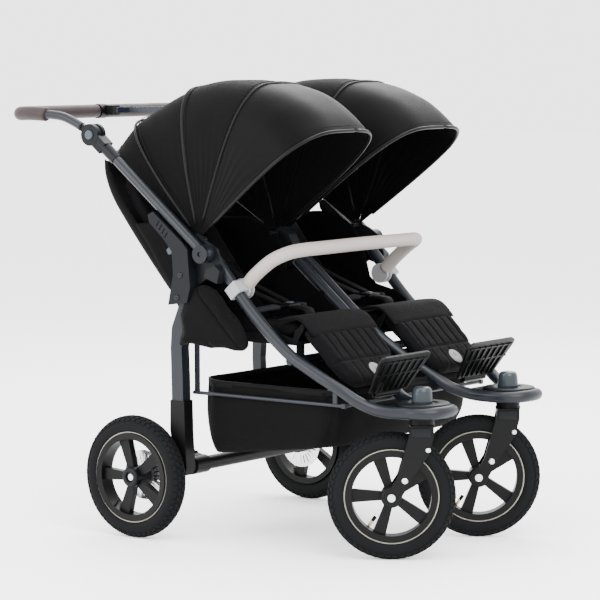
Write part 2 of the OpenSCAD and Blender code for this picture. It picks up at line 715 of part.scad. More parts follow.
hood_mid_panel(1);  // hood_mid_panel_right
hood_visor(-1);  // hood_visor_left
hood_visor(1);  // hood_visor_right
bumper_bar();
leg_rest(-1);  // leg_rest_left
leg_rest(1);  // leg_rest_right
footrest(-1);  // footrest_left
footrest(1);  // footrest_right
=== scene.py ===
"""Visual model of a side-by-side twin all-terrain pushchair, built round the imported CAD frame."""

import json
import logging
import math
from dataclasses import dataclass, field
from enum import Enum
from typing import Callable, ClassVar, Sequence

import bmesh
import bpy
import numpy as np
from mathutils import Matrix, Vector

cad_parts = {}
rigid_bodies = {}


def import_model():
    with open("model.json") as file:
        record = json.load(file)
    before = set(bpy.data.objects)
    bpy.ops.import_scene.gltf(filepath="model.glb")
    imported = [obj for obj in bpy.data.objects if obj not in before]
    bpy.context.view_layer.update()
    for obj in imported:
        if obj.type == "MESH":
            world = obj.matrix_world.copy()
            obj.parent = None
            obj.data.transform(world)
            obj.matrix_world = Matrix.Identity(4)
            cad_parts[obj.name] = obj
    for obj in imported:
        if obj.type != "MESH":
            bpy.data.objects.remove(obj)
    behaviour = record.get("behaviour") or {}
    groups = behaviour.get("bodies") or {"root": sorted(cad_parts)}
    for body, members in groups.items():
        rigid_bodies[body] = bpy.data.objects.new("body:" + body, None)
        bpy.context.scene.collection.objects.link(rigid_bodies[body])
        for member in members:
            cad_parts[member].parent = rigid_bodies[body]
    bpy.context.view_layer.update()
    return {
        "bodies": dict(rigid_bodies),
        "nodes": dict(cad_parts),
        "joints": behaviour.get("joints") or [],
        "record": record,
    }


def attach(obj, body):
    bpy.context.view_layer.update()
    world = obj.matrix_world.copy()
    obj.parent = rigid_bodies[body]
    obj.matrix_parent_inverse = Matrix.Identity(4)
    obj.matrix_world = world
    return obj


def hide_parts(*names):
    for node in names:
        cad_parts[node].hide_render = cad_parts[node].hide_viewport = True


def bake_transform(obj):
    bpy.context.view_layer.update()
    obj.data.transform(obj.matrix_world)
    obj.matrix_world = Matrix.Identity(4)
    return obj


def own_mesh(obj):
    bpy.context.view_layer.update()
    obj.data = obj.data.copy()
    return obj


LOG = logging.getLogger("pushchair")

SHIFT = 0.1925  # row-frame Y of the rear axle
SHEET_WALL = 0.0022
SIDES = {"left": -1, "right": 1}
HOOD_PIVOT = (-180.0, 735.0)
SEAT_X = 166.0
Point = Sequence[float]


class Surface(Enum):
    """The kinds of surface a finish can have."""

    PAINT = "paint"
    PLASTIC = "plastic"
    METAL = "metal"
    CLOTH = "cloth"
    LEATHER = "leather"
    RUBBER = "rubber"


@dataclass(frozen=True)
class Finish:
    """One procedural material.

    Attributes:
        name: The material's name.
        slot: The record's material slot; not used.
        surface: The kind of surface.
        colour: Linear base colour.
        rough: Mean roughness.
        grain: Scale of the fine grain, in cycles per metre.
        bump: Bump distance in metres.
        tone: How much the colour varies, from 0 to 1.
        coat: Clear-coat weight.
    """

    name: str
    slot: str
    surface: Surface
    colour: tuple[float, float, float]
    rough: float
    grain: float = 400.0
    bump: float = 0.0002
    tone: float = 0.2
    coat: float = 0.0

    SHINE: ClassVar[dict[Surface, float]] = {
        Surface.PAINT: 0.2, Surface.PLASTIC: 0.1, Surface.METAL: 0.5, Surface.CLOTH: 0.03,
        Surface.LEATHER: 0.2, Surface.RUBBER: 0.06}

    def material(self) -> bpy.types.Material:
        """Builds the material once and returns it.

        Returns:
            The Blender material.
        """
        found = bpy.data.materials.get(f"look_{self.name}")
        if found:
            return found
        mat = bpy.data.materials.new(f"look_{self.name}")
        mat.use_nodes = True
        tree = mat.node_tree
        link = tree.links.new
        shader = tree.nodes["Principled BSDF"]
        coords = tree.nodes.new("ShaderNodeTexCoord")
        fine = self._noise(tree, coords, self.grain, 3.0)
        broad = self._noise(tree, coords, 9.0, 4.0)
        mix = tree.nodes.new("ShaderNodeMath")
        mix.operation = "MULTIPLY_ADD"
        link(broad.outputs["Fac"], mix.inputs[0])
        mix.inputs[1].default_value = 0.6
        link(fine.outputs["Fac"], mix.inputs[2])
        ramp = tree.nodes.new("ShaderNodeValToRGB")
        ramp.color_ramp.elements[0].position = 0.45
        ramp.color_ramp.elements[1].position = 1.15 if self.tone < 0.1 else 1.0
        low = [c * (1 - self.tone) for c in self.colour]
        high = [min(1.0, c * (1 + self.tone)) for c in self.colour]
        ramp.color_ramp.elements[0].color = (*low, 1)
        ramp.color_ramp.elements[1].color = (*high, 1)
        link(mix.outputs[0], ramp.inputs[0])
        link(ramp.outputs[0], shader.inputs["Base Color"])
        rough = tree.nodes.new("ShaderNodeMapRange")
        link(fine.outputs["Fac"], rough.inputs["Value"])
        rough.inputs["To Min"].default_value = max(0.05, self.rough - 0.07)
        rough.inputs["To Max"].default_value = min(1.0, self.rough + 0.07)
        link(rough.outputs[0], shader.inputs["Roughness"])
        height = fine.outputs["Fac"]
        if self.surface is Surface.CLOTH:
            height = self._weave(tree, coords, fine)
            shader.inputs["Sheen Weight"].default_value = 0.012
            shader.inputs["Sheen Roughness"].default_value = 0.5
        shader.inputs["Specular IOR Level"].default_value = self.SHINE[self.surface]
        bump = tree.nodes.new("ShaderNodeBump")
        bump.inputs["Strength"].default_value = 0.6
        bump.inputs["Distance"].default_value = self.bump
        link(height, bump.inputs["Height"])
        link(bump.outputs[0], shader.inputs["Normal"])
        shader.inputs["Metallic"].default_value = 1.0 if self.surface is Surface.METAL else 0.0
        shader.inputs["Coat Weight"].default_value = self.coat
        shader.inputs["Coat Roughness"].default_value = 0.15
        mat.diffuse_color = (*self.colour, 1)
        return mat

    @staticmethod
    def _noise(
        tree: bpy.types.NodeTree, coords: bpy.types.Node, scale: float, detail: float
    ) -> bpy.types.Node:
        """Adds a noise texture on Object coordinates.

        Args:
            tree: The material's tree.
            coords: Its Texture Coordinate node.
            scale: Cycles per metre.
            detail: Octaves.

        Returns:
            The noise node.
        """
        noise = tree.nodes.new("ShaderNodeTexNoise")
        noise.inputs["Scale"].default_value = scale
        noise.inputs["Detail"].default_value = detail
        tree.links.new(coords.outputs["Object"], noise.inputs["Vector"])
        return noise

    @staticmethod
    def _weave(
        tree: bpy.types.NodeTree, coords: bpy.types.Node, fine: bpy.types.Node
    ) -> bpy.types.NodeSocket:
        """Adds a fine plain weave to the grain.

        Args:
            tree: The material's tree.
            coords: Its Texture Coordinate node.
            fine: The grain's noise node.

        Returns:
            The socket with the cloth's height.
        """
        total = fine.outputs["Fac"]
        for axis in ("X", "Z"):
            wave = tree.nodes.new("ShaderNodeTexWave")
            wave.bands_direction = axis
            wave.inputs["Scale"].default_value = 190.0
            tree.links.new(coords.outputs["Object"], wave.inputs["Vector"])
            add = tree.nodes.new("ShaderNodeMath")
            add.operation = "ADD"
            tree.links.new(total, add.inputs[0])
            tree.links.new(wave.outputs["Fac"], add.inputs[1])
            total = add.outputs[0]
        return total


FRAME = Finish(
    "frame_paint", "frame", Surface.PAINT,
    (0.0036, 0.0051, 0.008), 0.42, 900, 0.00005, 0.15, 0.08,
)
BLACK = Finish(
    "black_plastic", "black_plastic", Surface.PLASTIC,
    (0.001575, 0.001575, 0.0018), 0.42, 1500, 0.0001, 0.25,
)
SLATE = Finish(
    "slate_plastic", "slate_plastic", Surface.PLASTIC,
    (0.00325, 0.0039, 0.00475), 0.4, 1500, 0.0001, 0.2,
)
GREY = Finish(
    "grey_plastic", "grey_plastic", Surface.PLASTIC,
    (0.2232, 0.2232, 0.2294), 0.4, 1500, 0.00008, 0.06,
)
STEEL = Finish(
    "steel", "steel", Surface.METAL,
    (0.62, 0.62, 0.64), 0.28, 300, 0.00004, 0.08,
)
DARK_STEEL = Finish(
    "dark_steel", "steel", Surface.METAL,
    (0.018, 0.0192, 0.022), 0.4, 300, 0.00004, 0.1,
)
BRASS = Finish("brass", "steel", Surface.METAL, (0.7, 0.52, 0.25), 0.3, 300, 0.00004, 0.08)
GRIP = Finish(
    "grip_cover", "grip", Surface.LEATHER,
    (0.0168, 0.0096, 0.0099), 0.5, 420, 0.0004, 0.3,
)
THREAD = Finish(
    "grip_thread", "grip", Surface.CLOTH,
    (0.06, 0.042, 0.042), 0.7, 900, 0.0001, 0.2,
)
LEVER = Finish(
    "brake_lever", "lever", Surface.PLASTIC,
    (0.0036, 0.0054, 0.0114), 0.2, 500, 0.00002, 0.15, 0.8,
)
BUTTON = Finish(
    "button", "button", Surface.PLASTIC,
    (0.042, 0.0525, 0.063), 0.35, 1200, 0.00006, 0.12,
)
KNOB = Finish(
    "knob", "knob", Surface.PLASTIC,
    (0.0154, 0.021, 0.0252), 0.32, 700, 0.00004, 0.12, 0.3,
)
TYRE = Finish(
    "tyre", "tyre", Surface.RUBBER,
    (0.00325, 0.0034, 0.00375), 0.72, 700, 0.0003, 0.25,
)
REFLECT = Finish(
    "reflective_ring", "tyre", Surface.PLASTIC,
    (0.35, 0.336, 0.28), 0.45, 900, 0.00004, 0.1,
)
SEAT = Finish(
    "seat_cloth", "seat_fabric", Surface.CLOTH,
    (0.0017, 0.0017, 0.002), 0.72, 700, 0.0003, 0.3,
)
SEAM = Finish(
    "seam_cloth", "seat_fabric", Surface.CLOTH,
    (0.003, 0.003, 0.0033), 0.6, 900, 0.0001, 0.25,
)
WEBBING = Finish(
    "webbing", "seat_fabric", Surface.CLOTH,
    (0.0025, 0.0025, 0.0028), 0.65, 900, 0.0003, 0.3,
)
LAP_PAD = Finish(
    "lap_pad", "seat_fabric", Surface.CLOTH,
    (0.011, 0.0115, 0.013), 0.75, 700, 0.0003, 0.25,
)
BADGE = Finish(
    "plain_badge", "seat_fabric", Surface.PLASTIC,
    (0.16, 0.16, 0.16), 0.5, 900, 0.0001, 0.1,
)
BASKET = Finish(
    "basket_cloth", "basket_fabric", Surface.CLOTH,
    (0.0018, 0.0017, 0.0018), 0.7, 600, 0.0004, 0.3,
)
HOOD = Finish(
    "hood_cloth", "hood_fabric", Surface.CLOTH,
    (0.00135, 0.00135, 0.00153), 0.66, 800, 0.0002, 0.25,
)
VISOR = Finish(
    "visor_cloth", "visor_fabric", Surface.CLOTH,
    (0.0014, 0.0014, 0.0016), 0.44, 900, 0.0001, 0.2,
)
PIPING = Finish(
    "piping", "visor_fabric", Surface.PLASTIC,
    (0.002, 0.002, 0.0023), 0.35, 900, 0.0001, 0.2,
)
FOAM = Finish(
    "bar_foam", "bar_foam", Surface.RUBBER,
    (0.2604, 0.2325, 0.2201), 0.62, 1300, 0.0001, 0.06,
)


# ---------- mesh helpers ----------


def at(x: float, y: float, z: float) -> Vector:
    """Turns millimetres from the rear axle and the ground into row-frame metres."""
    return Vector((x / 1000, y / 1000 + SHIFT, z / 1000))


def smooth_path(points: Sequence[Point], steps: int = 6) -> list[Vector]:
    """A Catmull-Rom curve through all the points.

    Args:
        points: The points to pass through.
        steps: Steps between neighbours.

    Returns:
        The curve's points.
    """
    p = [Vector(q) for q in points]
    out = []
    for i in range(len(p) - 1):
        a, b, c, d = p[max(i - 1, 0)], p[i], p[i + 1], p[min(i + 2, len(p) - 1)]
        for k in range(steps):
            t = k / steps
            out.append(
                0.5 * (2 * b + (c - a) * t + (2 * a - 5 * b + 4 * c - d) * t**2
                       + (3 * b - a - 3 * c + d) * t**3)
            )
    return out + [p[-1]]


def make(name: str, verts: Sequence[Point], faces: Sequence[Sequence[int]], finish: Finish) -> bpy.types.Object:
    """Makes a smooth-shaded mesh object at the origin with outward normals.

    Args:
        name: The piece's name.
        verts: Row-frame points in metres.
        faces: Corner indices.
        finish: The piece's finish.

    Returns:
        The new object.
    """
    mesh = bpy.data.meshes.new(name)
    mesh.from_pydata([tuple(v) for v in verts], [], [tuple(f) for f in faces])
    bm = bmesh.new()
    bm.from_mesh(mesh)
    bmesh.ops.remove_doubles(bm, verts=bm.verts, dist=1e-6)
    bmesh.ops.recalc_face_normals(bm, faces=bm.faces)
    bm.to_mesh(mesh)
    bm.free()
    mesh.shade_smooth()
    obj = bpy.data.objects.new(name, mesh)
    bpy.context.scene.collection.objects.link(obj)
    mesh.materials.append(finish.material())
    return obj


def grid_faces(rows: int, cols: int, wrap: bool = False) -> list[tuple[int, ...]]:
    """Quads between rows of points, each row joined into a ring if wrap is true."""
    span = cols if wrap else cols - 1
    return [
        (i * cols + k, i * cols + (k + 1) % cols, (i + 1) * cols + (k + 1) % cols, (i + 1) * cols + k)
        for i in range(rows - 1)
        for k in range(span)
    ]


def rings(path: Sequence[Vector], section: Sequence[Point], up: Vector) -> list[Vector]:
    """Sweeps a flat section along a path.

    Args:
        path: The points to follow.
        section: [across, along up] offsets in metres.
        up: Direction that the section's second axis leans to.

    Returns:
        The rings' points, one ring after another.
    """
    out = []
    for i, p in enumerate(path):
        along = (path[min(i + 1, len(path) - 1)] - path[max(i - 1, 0)]).normalized()
        u = along.cross(up)
        u = u.normalized() if u.length > 1e-6 else along.orthogonal().normalized()
        v = u.cross(along).normalized()
        out += [p + u * a + v * b for a, b in section]
    return out


def sweep(
    name: str,
    path: Sequence[Vector],
    section: Sequence[Point],
    finish: Finish,
    up: Vector = Vector((0, 0, 1)),
) -> bpy.types.Object:
    """Makes a closed swept solid.

    Args:
        name: The piece's name.
        path: The points to follow.
        section: The section's corners.
        finish: The piece's finish.
        up: Direction that the section's second axis leans to.

    Returns:
        The new object.
    """
    n = len(section)
    faces = grid_faces(len(path), n, True)
    faces += [tuple(range(n)), tuple(reversed(range((len(path) - 1) * n, len(path) * n)))]
    return make(name, rings(path, section, up), faces, finish)


def circle(r: float, n: int = 16) -> list[tuple[float, float]]:
    """Corners of a circle of radius r metres."""
    return [(r * math.cos(2 * math.pi * k / n), r * math.sin(2 * math.pi * k / n)) for k in range(n)]


def strap_section(width: float, thick: float) -> list[tuple[float, float]]:
    """Corners of a flat strap's section, with softened edges."""
    w, t = width / 2, thick / 2
    return [(-w, -t * 0.4), (-w * 0.93, -t), (w * 0.93, -t), (w, -t * 0.4),
            (w, t * 0.4), (w * 0.93, t), (-w * 0.93, t), (-w, t * 0.4)]


def spin(name: str, profile: Sequence[Point], place: Matrix, finish: Finish, n: int = 96) -> bpy.types.Object:
    """Turns a closed [radius, axial] profile in metres about local X and places it."""
    verts = [
        place @ Vector((a, r * math.cos(2 * math.pi * i / n), r * math.sin(2 * math.pi * i / n)))
        for i in range(n)
        for r, a in profile
    ]
    m = len(profile)
    faces = [
        (i * m + k, i * m + (k + 1) % m, ((i + 1) % n) * m + (k + 1) % m, ((i + 1) % n) * m + k)
        for i in range(n)
        for k in range(m)
    ]
    return make(name, verts, faces, finish)


def baked(obj: bpy.types.Object) -> bpy.types.Object:
    """Applies the object's modifiers to its mesh.

    Args:
        obj: The object with live modifiers.

    Returns:
        The same object, with a plain mesh.
    """
    graph = bpy.context.evaluated_depsgraph_get()
    mesh = bpy.data.meshes.new_from_object(obj.evaluated_get(graph))
    obj.modifiers.clear()
    obj.data = mesh
    mesh.shade_smooth()
    return obj


def joined(name: str, objs: Sequence[bpy.types.Object], finish: Finish | None = None) -> bpy.types.Object:
    """Joins meshes that already lie in the row frame into one object."""
    bm = bmesh.new()
    mats: list[bpy.types.Material] = []
    for obj in objs:
        start = len(bm.faces)
        bm.from_mesh(obj.data)
        bm.faces.ensure_lookup_table()
        mat = obj.data.materials[0]
        if mat not in mats:
            mats.append(mat)
        for face in bm.faces[start:]:
            face.material_index = mats.index(mat)
    mesh = bpy.data.meshes.new(name)
    bm.to_mesh(mesh)
    bm.free()
    for mat in [finish.material()] if finish else mats:
        mesh.materials.append(mat)
    out = bpy.data.objects.new(name, mesh)
    bpy.context.scene.collection.objects.link(out)
    for obj in objs:
        bpy.data.objects.remove(obj)
    return out


def mirrored(obj: bpy.types.Object, name: str) -> bpy.types.Object:
    """A mirror image of a piece across x = 0, with outward normals."""
    mesh = obj.data.copy()
    mesh.transform(Matrix.Scale(-1, 4, Vector((1, 0, 0))))
    mesh.flip_normals()
    out = bpy.data.objects.new(name, mesh)
    bpy.context.scene.collection.objects.link(out)
    return out


def rounded_box(name: str, size: Point, bevel: float, place: Matrix, finish: Finish) -> bpy.types.Object:
    """A box with bevelled edges, of a size in metres, centred and placed by a matrix."""
    bm = bmesh.new()
    bmesh.ops.create_cube(bm, size=1.0)
    bmesh.ops.scale(bm, vec=Vector(size), verts=bm.verts)
    bmesh.ops.bevel(bm, geom=bm.edges[:], offset=bevel, segments=3, affect="EDGES", profile=0.5)
    bm.transform(place)
    mesh = bpy.data.meshes.new(name)
    bm.to_mesh(mesh)
    bm.free()
    mesh.shade_smooth()
    mesh.materials.append(finish.material())
    out = bpy.data.objects.new(name, mesh)
    bpy.context.scene.collection.objects.link(out)
    return out


def wobble(p: Vector, scale: float, seed: float = 0.0) -> float:
    """Smooth repeatable noise between about -1 and 1 at a point."""
    x, y, z = p.x * scale + seed, p.y * scale - seed, p.z * scale + 2 * seed
    return (math.sin(1.7 * x + 2.1 * math.sin(0.9 * y + z)) + math.sin(2.3 * y + 1.3 * math.sin(1.1 * z + x))
            + math.sin(1.9 * z + 1.7 * math.sin(1.3 * x + y))) / 3


# ---------- repeated details, by Geometry Nodes ----------


class Repeater:
    """Places copies of a small template on points, by a Geometry Nodes tree built here."""

    NAME = "place_copies"

    @classmethod
    def tree(cls) -> bpy.types.NodeTree:
        """Builds the tree once and returns it."""
        found = bpy.data.node_groups.get(cls.NAME)
        if found:
            return found
        tree = bpy.data.node_groups.new(cls.NAME, "GeometryNodeTree")
        face = tree.interface
        face.new_socket("Geometry", in_out="INPUT", socket_type="NodeSocketGeometry")
        face.new_socket("Template", in_out="INPUT", socket_type="NodeSocketObject")
        face.new_socket("Size", in_out="INPUT", socket_type="NodeSocketFloat").default_value = 1.0
        face.new_socket("Jitter", in_out="INPUT", socket_type="NodeSocketFloat").default_value = 0.0
        face.new_socket("Material", in_out="INPUT", socket_type="NodeSocketMaterial")
        face.new_socket("Geometry", in_out="OUTPUT", socket_type="NodeSocketGeometry")
        new, link = tree.nodes.new, tree.links.new
        source, sink = new("NodeGroupInput"), new("NodeGroupOutput")
        info, place = new("GeometryNodeObjectInfo"), new("GeometryNodeInstanceOnPoints")
        turn = new("GeometryNodeInputNamedAttribute")
        turn.data_type = "FLOAT_VECTOR"
        turn.inputs["Name"].default_value = "turn"
        rand, add = new("FunctionNodeRandomValue"), new("ShaderNodeMath")
        rand.inputs["Seed"].default_value = 7
        spread = new("ShaderNodeMath")
        spread.operation = "MULTIPLY"
        real, dress = new("GeometryNodeRealizeInstances"), new("GeometryNodeSetMaterial")
        link(source.outputs["Template"], info.inputs["Object"])
        link(source.outputs["Geometry"], place.inputs["Points"])
        link(info.outputs["Geometry"], place.inputs["Instance"])
        link(turn.outputs["Attribute"], place.inputs["Rotation"])
        link(rand.outputs[1], spread.inputs[0])
        link(source.outputs["Jitter"], spread.inputs[1])
        link(source.outputs["Size"], add.inputs[0])
        link(spread.outputs[0], add.inputs[1])
        link(add.outputs[0], place.inputs["Scale"])
        link(place.outputs["Instances"], real.inputs["Geometry"])
        link(real.outputs["Geometry"], dress.inputs["Geometry"])
        link(source.outputs["Material"], dress.inputs["Material"])
        link(dress.outputs["Geometry"], sink.inputs["Geometry"])
        return tree

    @classmethod
    def place(
        cls,
        name: str,
        template: bpy.types.Object,
        spots: Sequence[tuple[Vector, Matrix]],
        finish: Finish,
    ) -> bpy.types.Object:
        """Makes one piece from copies of a template, and removes the template.

        Args:
            name: The new piece's name.
            template: A small mesh about the origin.
            spots: Each copy's place and 3x3 rotation.
            finish: The copies' finish.

        Returns:
            The new piece.
        """
        mesh = bpy.data.meshes.new(name)
        mesh.from_pydata([tuple(p) for p, _ in spots], [], [])
        turn = mesh.attributes.new("turn", "FLOAT_VECTOR", "POINT")
        for i, (_, rot) in enumerate(spots):
            turn.data[i].vector = rot.to_euler("XYZ")
        obj = bpy.data.objects.new(name, mesh)
        bpy.context.scene.collection.objects.link(obj)
        mod = obj.modifiers.new("copies", "NODES")
        tree = cls.tree()
        mod.node_group = tree
        ids = {item.name: item.identifier for item in tree.interface.items_tree if item.in_out == "INPUT"}
        mod[ids["Template"]] = template
        mod[ids["Size"]] = 1.0
        mod[ids["Jitter"]] = 0.0
        mod[ids["Material"]] = finish.material()
        baked(obj)
        bpy.data.objects.remove(template)
        return obj


def basis(x: Vector, z: Vector) -> Matrix:
    """A rotation whose X axis is x and whose Z axis is as near to z as it can be."""
    x = x.normalized()
    y = z.cross(x).normalized()
    return Matrix((x, y, x.cross(y))).transposed()


# ---------- soft pads ----------


@dataclass
class Pad:
    """A stuffed pad, sewn from an outline and blown up by a short cloth simulation.

    Attributes:
        name: The piece's name.
        outline: Corners in the pad's own plane, in mm.
        low: Underside height in mm.
        high: Top height in mm.
        place: From the pad's own millimetres to the row frame's metres.
        finish: The pad's finish.
        channels: Function from local (x, y) in mm to how deep the sewing pulls in, 0 to 1.
        depth: Depth of the sewn channels in mm.
        cap: Furthest a point may swell, in mm.
        bend: Function that shapes a local point before the sewing.
    """

    name: str
    outline: Sequence[Point]
    low: float
    high: float
    place: Matrix
    finish: Finish
    channels: Callable[[float, float], float] | None = None
    depth: float = 4.0
    cap: float = 7.0
    voxel: float = 5.0
    bend: Callable[[Vector], Vector] | None = None

    def build(self) -> bpy.types.Object:
        """Builds the pad.

        Returns:
            The finished object in the row frame.
        """
        n = len(self.outline)
        verts = [(x, y, z) for z in (self.low, self.high) for x, y in self.outline]
        faces = [tuple(range(n)), tuple(range(n, 2 * n))]
        faces += [(i, (i + 1) % n, n + (i + 1) % n, n + i) for i in range(n)]
        obj = make(self.name, [Vector(v) / 1000 for v in verts], faces, self.finish)
        remesh = obj.modifiers.new("remesh", "REMESH")
        remesh.mode = "VOXEL"
        remesh.voxel_size = self.voxel / 1000
        relax = obj.modifiers.new("relax", "SMOOTH")
        relax.factor = 0.5
        relax.iterations = 6
        baked(obj)
        self._inflate(obj)
        sub = obj.modifiers.new("sub", "SUBSURF")
        sub.levels = sub.render_levels = 1
        baked(obj)
        self._sew(obj)
        obj.data.transform(self.place)
        obj.data.shade_smooth()
        return obj

    def _inflate(self, obj: bpy.types.Object) -> None:
        """Runs the cloth simulation and keeps its result, capped."""
        start = np.array([v.co[:] for v in obj.data.vertices])
        cloth = obj.modifiers.new("cloth", "CLOTH")
        cloth.settings.use_pressure = True
        cloth.settings.uniform_pressure_force = 4.0
        cloth.settings.quality = 4
        cloth.settings.mass = 0.3
        cloth.settings.effector_weights.gravity = 0
        cloth.collision_settings.use_collision = False
        scene = bpy.context.scene
        for frame in range(1, 21):
            scene.frame_set(frame)
        graph = bpy.context.evaluated_depsgraph_get()
        result = obj.evaluated_get(graph).data
        end = np.array([v.co[:] for v in result.vertices])
        obj.modifiers.clear()
        move = end - start
        length = np.linalg.norm(move, axis=1, keepdims=True) + 1e-9
        move *= np.minimum(1.0, self.cap / 1000 / length)
        for vert, co in zip(obj.data.vertices, start + move):
            vert.co = co
        obj.data.update()
        scene.frame_set(1)

    def _sew(self, obj: bpy.types.Object) -> None:
        """Pulls in the sewn channels and bends the pad."""
        normals = [v.normal.copy() for v in obj.data.vertices]
        for vert, normal in zip(obj.data.vertices, normals):
            p = vert.co * 1000
            if self.channels and normal.z > 0.25:
                p.z -= self.depth * self.channels(p.x, p.y)
            p += normal * 0.9 * wobble(p, 0.05, len(self.name))
            if self.bend:
                p = self.bend(p)
            vert.co = p / 1000
        obj.data.update()


def groove(d: float, width: float) -> float:
    """How deep a sewn line pulls in at a distance d from it, from 0 to 1."""
    return math.exp(-((d / width) ** 2))


# ---------- sub-assemblies ----------


@dataclass
class Chassis:
    """The metal and plastic frame: CAD solids with finishes, and smooth tubes.

    Attributes:
        tube_r: Radius of the front frame tubes in mm.
        finishes: CAD nodes and the finish each one takes.
    """

    tube_r: float = 14.0
    finishes: dict[Finish, tuple[str, ...]] = field(default_factory=lambda: {
        BLACK: ("caster_plates", "leg_sleeves", "rear_cross_bar", "brake_calipers", "brake_pedal",
                "brake_bracket", "caster_fork_left", "caster_fork_right", "footrest_left", "footrest_right",
                "rear_rim_left", "rear_rim_right", "front_rim_left", "front_rim_right"),
        SLATE: ("fold_casings", "centre_joint", "handle_joint_housings", "push_bar_lugs"),
        FRAME: ("front_crossbar", "basket_rails", "pusher_tubes", "rear_legs", "centre_leg"),
        STEEL: ("rear_axles", "brake_disc_left", "brake_disc_right",
                "caster_axle_left", "caster_axle_right"),
        DARK_STEEL: ("pivot_pins",),
        GREY: ("bumper_clamps",),
        LEVER: ("hand_brake_lever",),
        BUTTON: ("angle_button_left", "angle_button_right", "fold_lever_left", "fold_lever_right"),
        KNOB: ("swivel_knob_left", "swivel_knob_right"),
        SEAT: ("seat_shells",),
    })

    def dress(self, nodes: dict[str, bpy.types.Object]) -> None:
        """Gives each CAD node its finish."""
        for finish, names in self.finishes.items():
            for name in names:
                obj = nodes[name]
                for slot in obj.material_slots:
                    slot.material = finish.material()

    def loop_path(self, side: int) -> list[Vector]:
        """The centre line of one front frame loop, from the casing round the caster plate."""
        mm = [
            (314, -222, 690), (314, -331, 567), (314, -433, 479), (313, -514, 434), (308, -578, 402),
            (293, -628, 371), (270, -672, 353), (251, -725, 350), (240, -770, 350),
            (210, -796, 352), (162, -796, 352), (132, -770, 350), (121, -725, 350),
            (118, -665, 353), (104, -610, 370), (76, -560, 408), (45, -512, 447),
            (24, -462, 489), (18, -400, 539), (18, -330, 597), (18, -242, 670)]
        return smooth_path([at(side * x, y, z) for x, y, z in mm], 8)

    def build(self) -> None:
        """Builds the smooth frame loops and the small fittings on the frame."""
        for label, side in SIDES.items():
            loop = sweep(f"side_frame_{label}", self.loop_path(side), circle(self.tube_r / 1000, 28), FRAME)
            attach(loop, "front_frame")
            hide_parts(f"frame_loop_{label}")
            self._plate_trim(label, side)
            self._leg_trim(label, side)
            LOG.info("chassis %s built", label)

    def _plate_trim(self, label: str, side: int) -> None:
        """The oval cover between the loop's crest and the swivel knob."""
        centre = at(side * 186, -733, 366)
        ring = [Vector((0.0655 * math.cos(t), 0.0625 * math.sin(t), 0)) for t in np.linspace(0, 2 * math.pi, 73)[:-1]]
        section = [(1.0, -0.003), (1.0, 0.0004), (0.985, 0.0022), (0.95, 0.0034), (0.88, 0.004), (0.62, 0.0044),
                   (0.46, 0.003), (0.44, -0.003)]
        verts = [centre + Vector((p.x * a, p.y * a, b)) for p in ring for a, b in section]
        n, m = len(ring), len(section)
        faces = []
        for i in range(n):
            faces += [(i * m + k, i * m + (k + 1) % m, (i + 1) % n * m + (k + 1) % m, (i + 1) % n * m + k)
                      for k in range(m)]
        trim = make(f"plate_ring_{label}", verts, faces, SLATE)
        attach(trim, "front_frame")

    def _leg_trim(self, label: str, side: int) -> None:
        """The two bolts on each folding casing."""
        template = make("bolt", *self._bolt(0.007, 0.003), DARK_STEEL)
        rot = basis(Vector((0, 1, 0)), Vector((side, 0, 0)))
        spots = [(at(side * 362.5, -150, 650), rot), (at(side * 362.5, -140, 596), rot)]
        bolts = Repeater.place(f"casing_bolts_{label}", template, spots, DARK_STEEL)
        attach(bolts, "front_frame")

    @staticmethod
    def _bolt(r: float, h: float) -> tuple[list[Vector], list[tuple[int, ...]]]:
        """Points and faces of a domed bolt head about the origin, its top towards +Z."""
        rows = [(r, -0.001), (r, h * 0.4), (r * 0.75, h * 0.85), (r * 0.35, h), (r * 0.3, h * 0.55)]
        n = 16
        verts = [Vector((a * math.cos(2 * math.pi * k / n), a * math.sin(2 * math.pi * k / n), z))
                 for a, z in rows for k in range(n)]
        faces = grid_faces(len(rows), n, True) + [tuple(range(n)), tuple(range((len(rows) - 1) * n, len(rows) * n))]
        return verts, faces


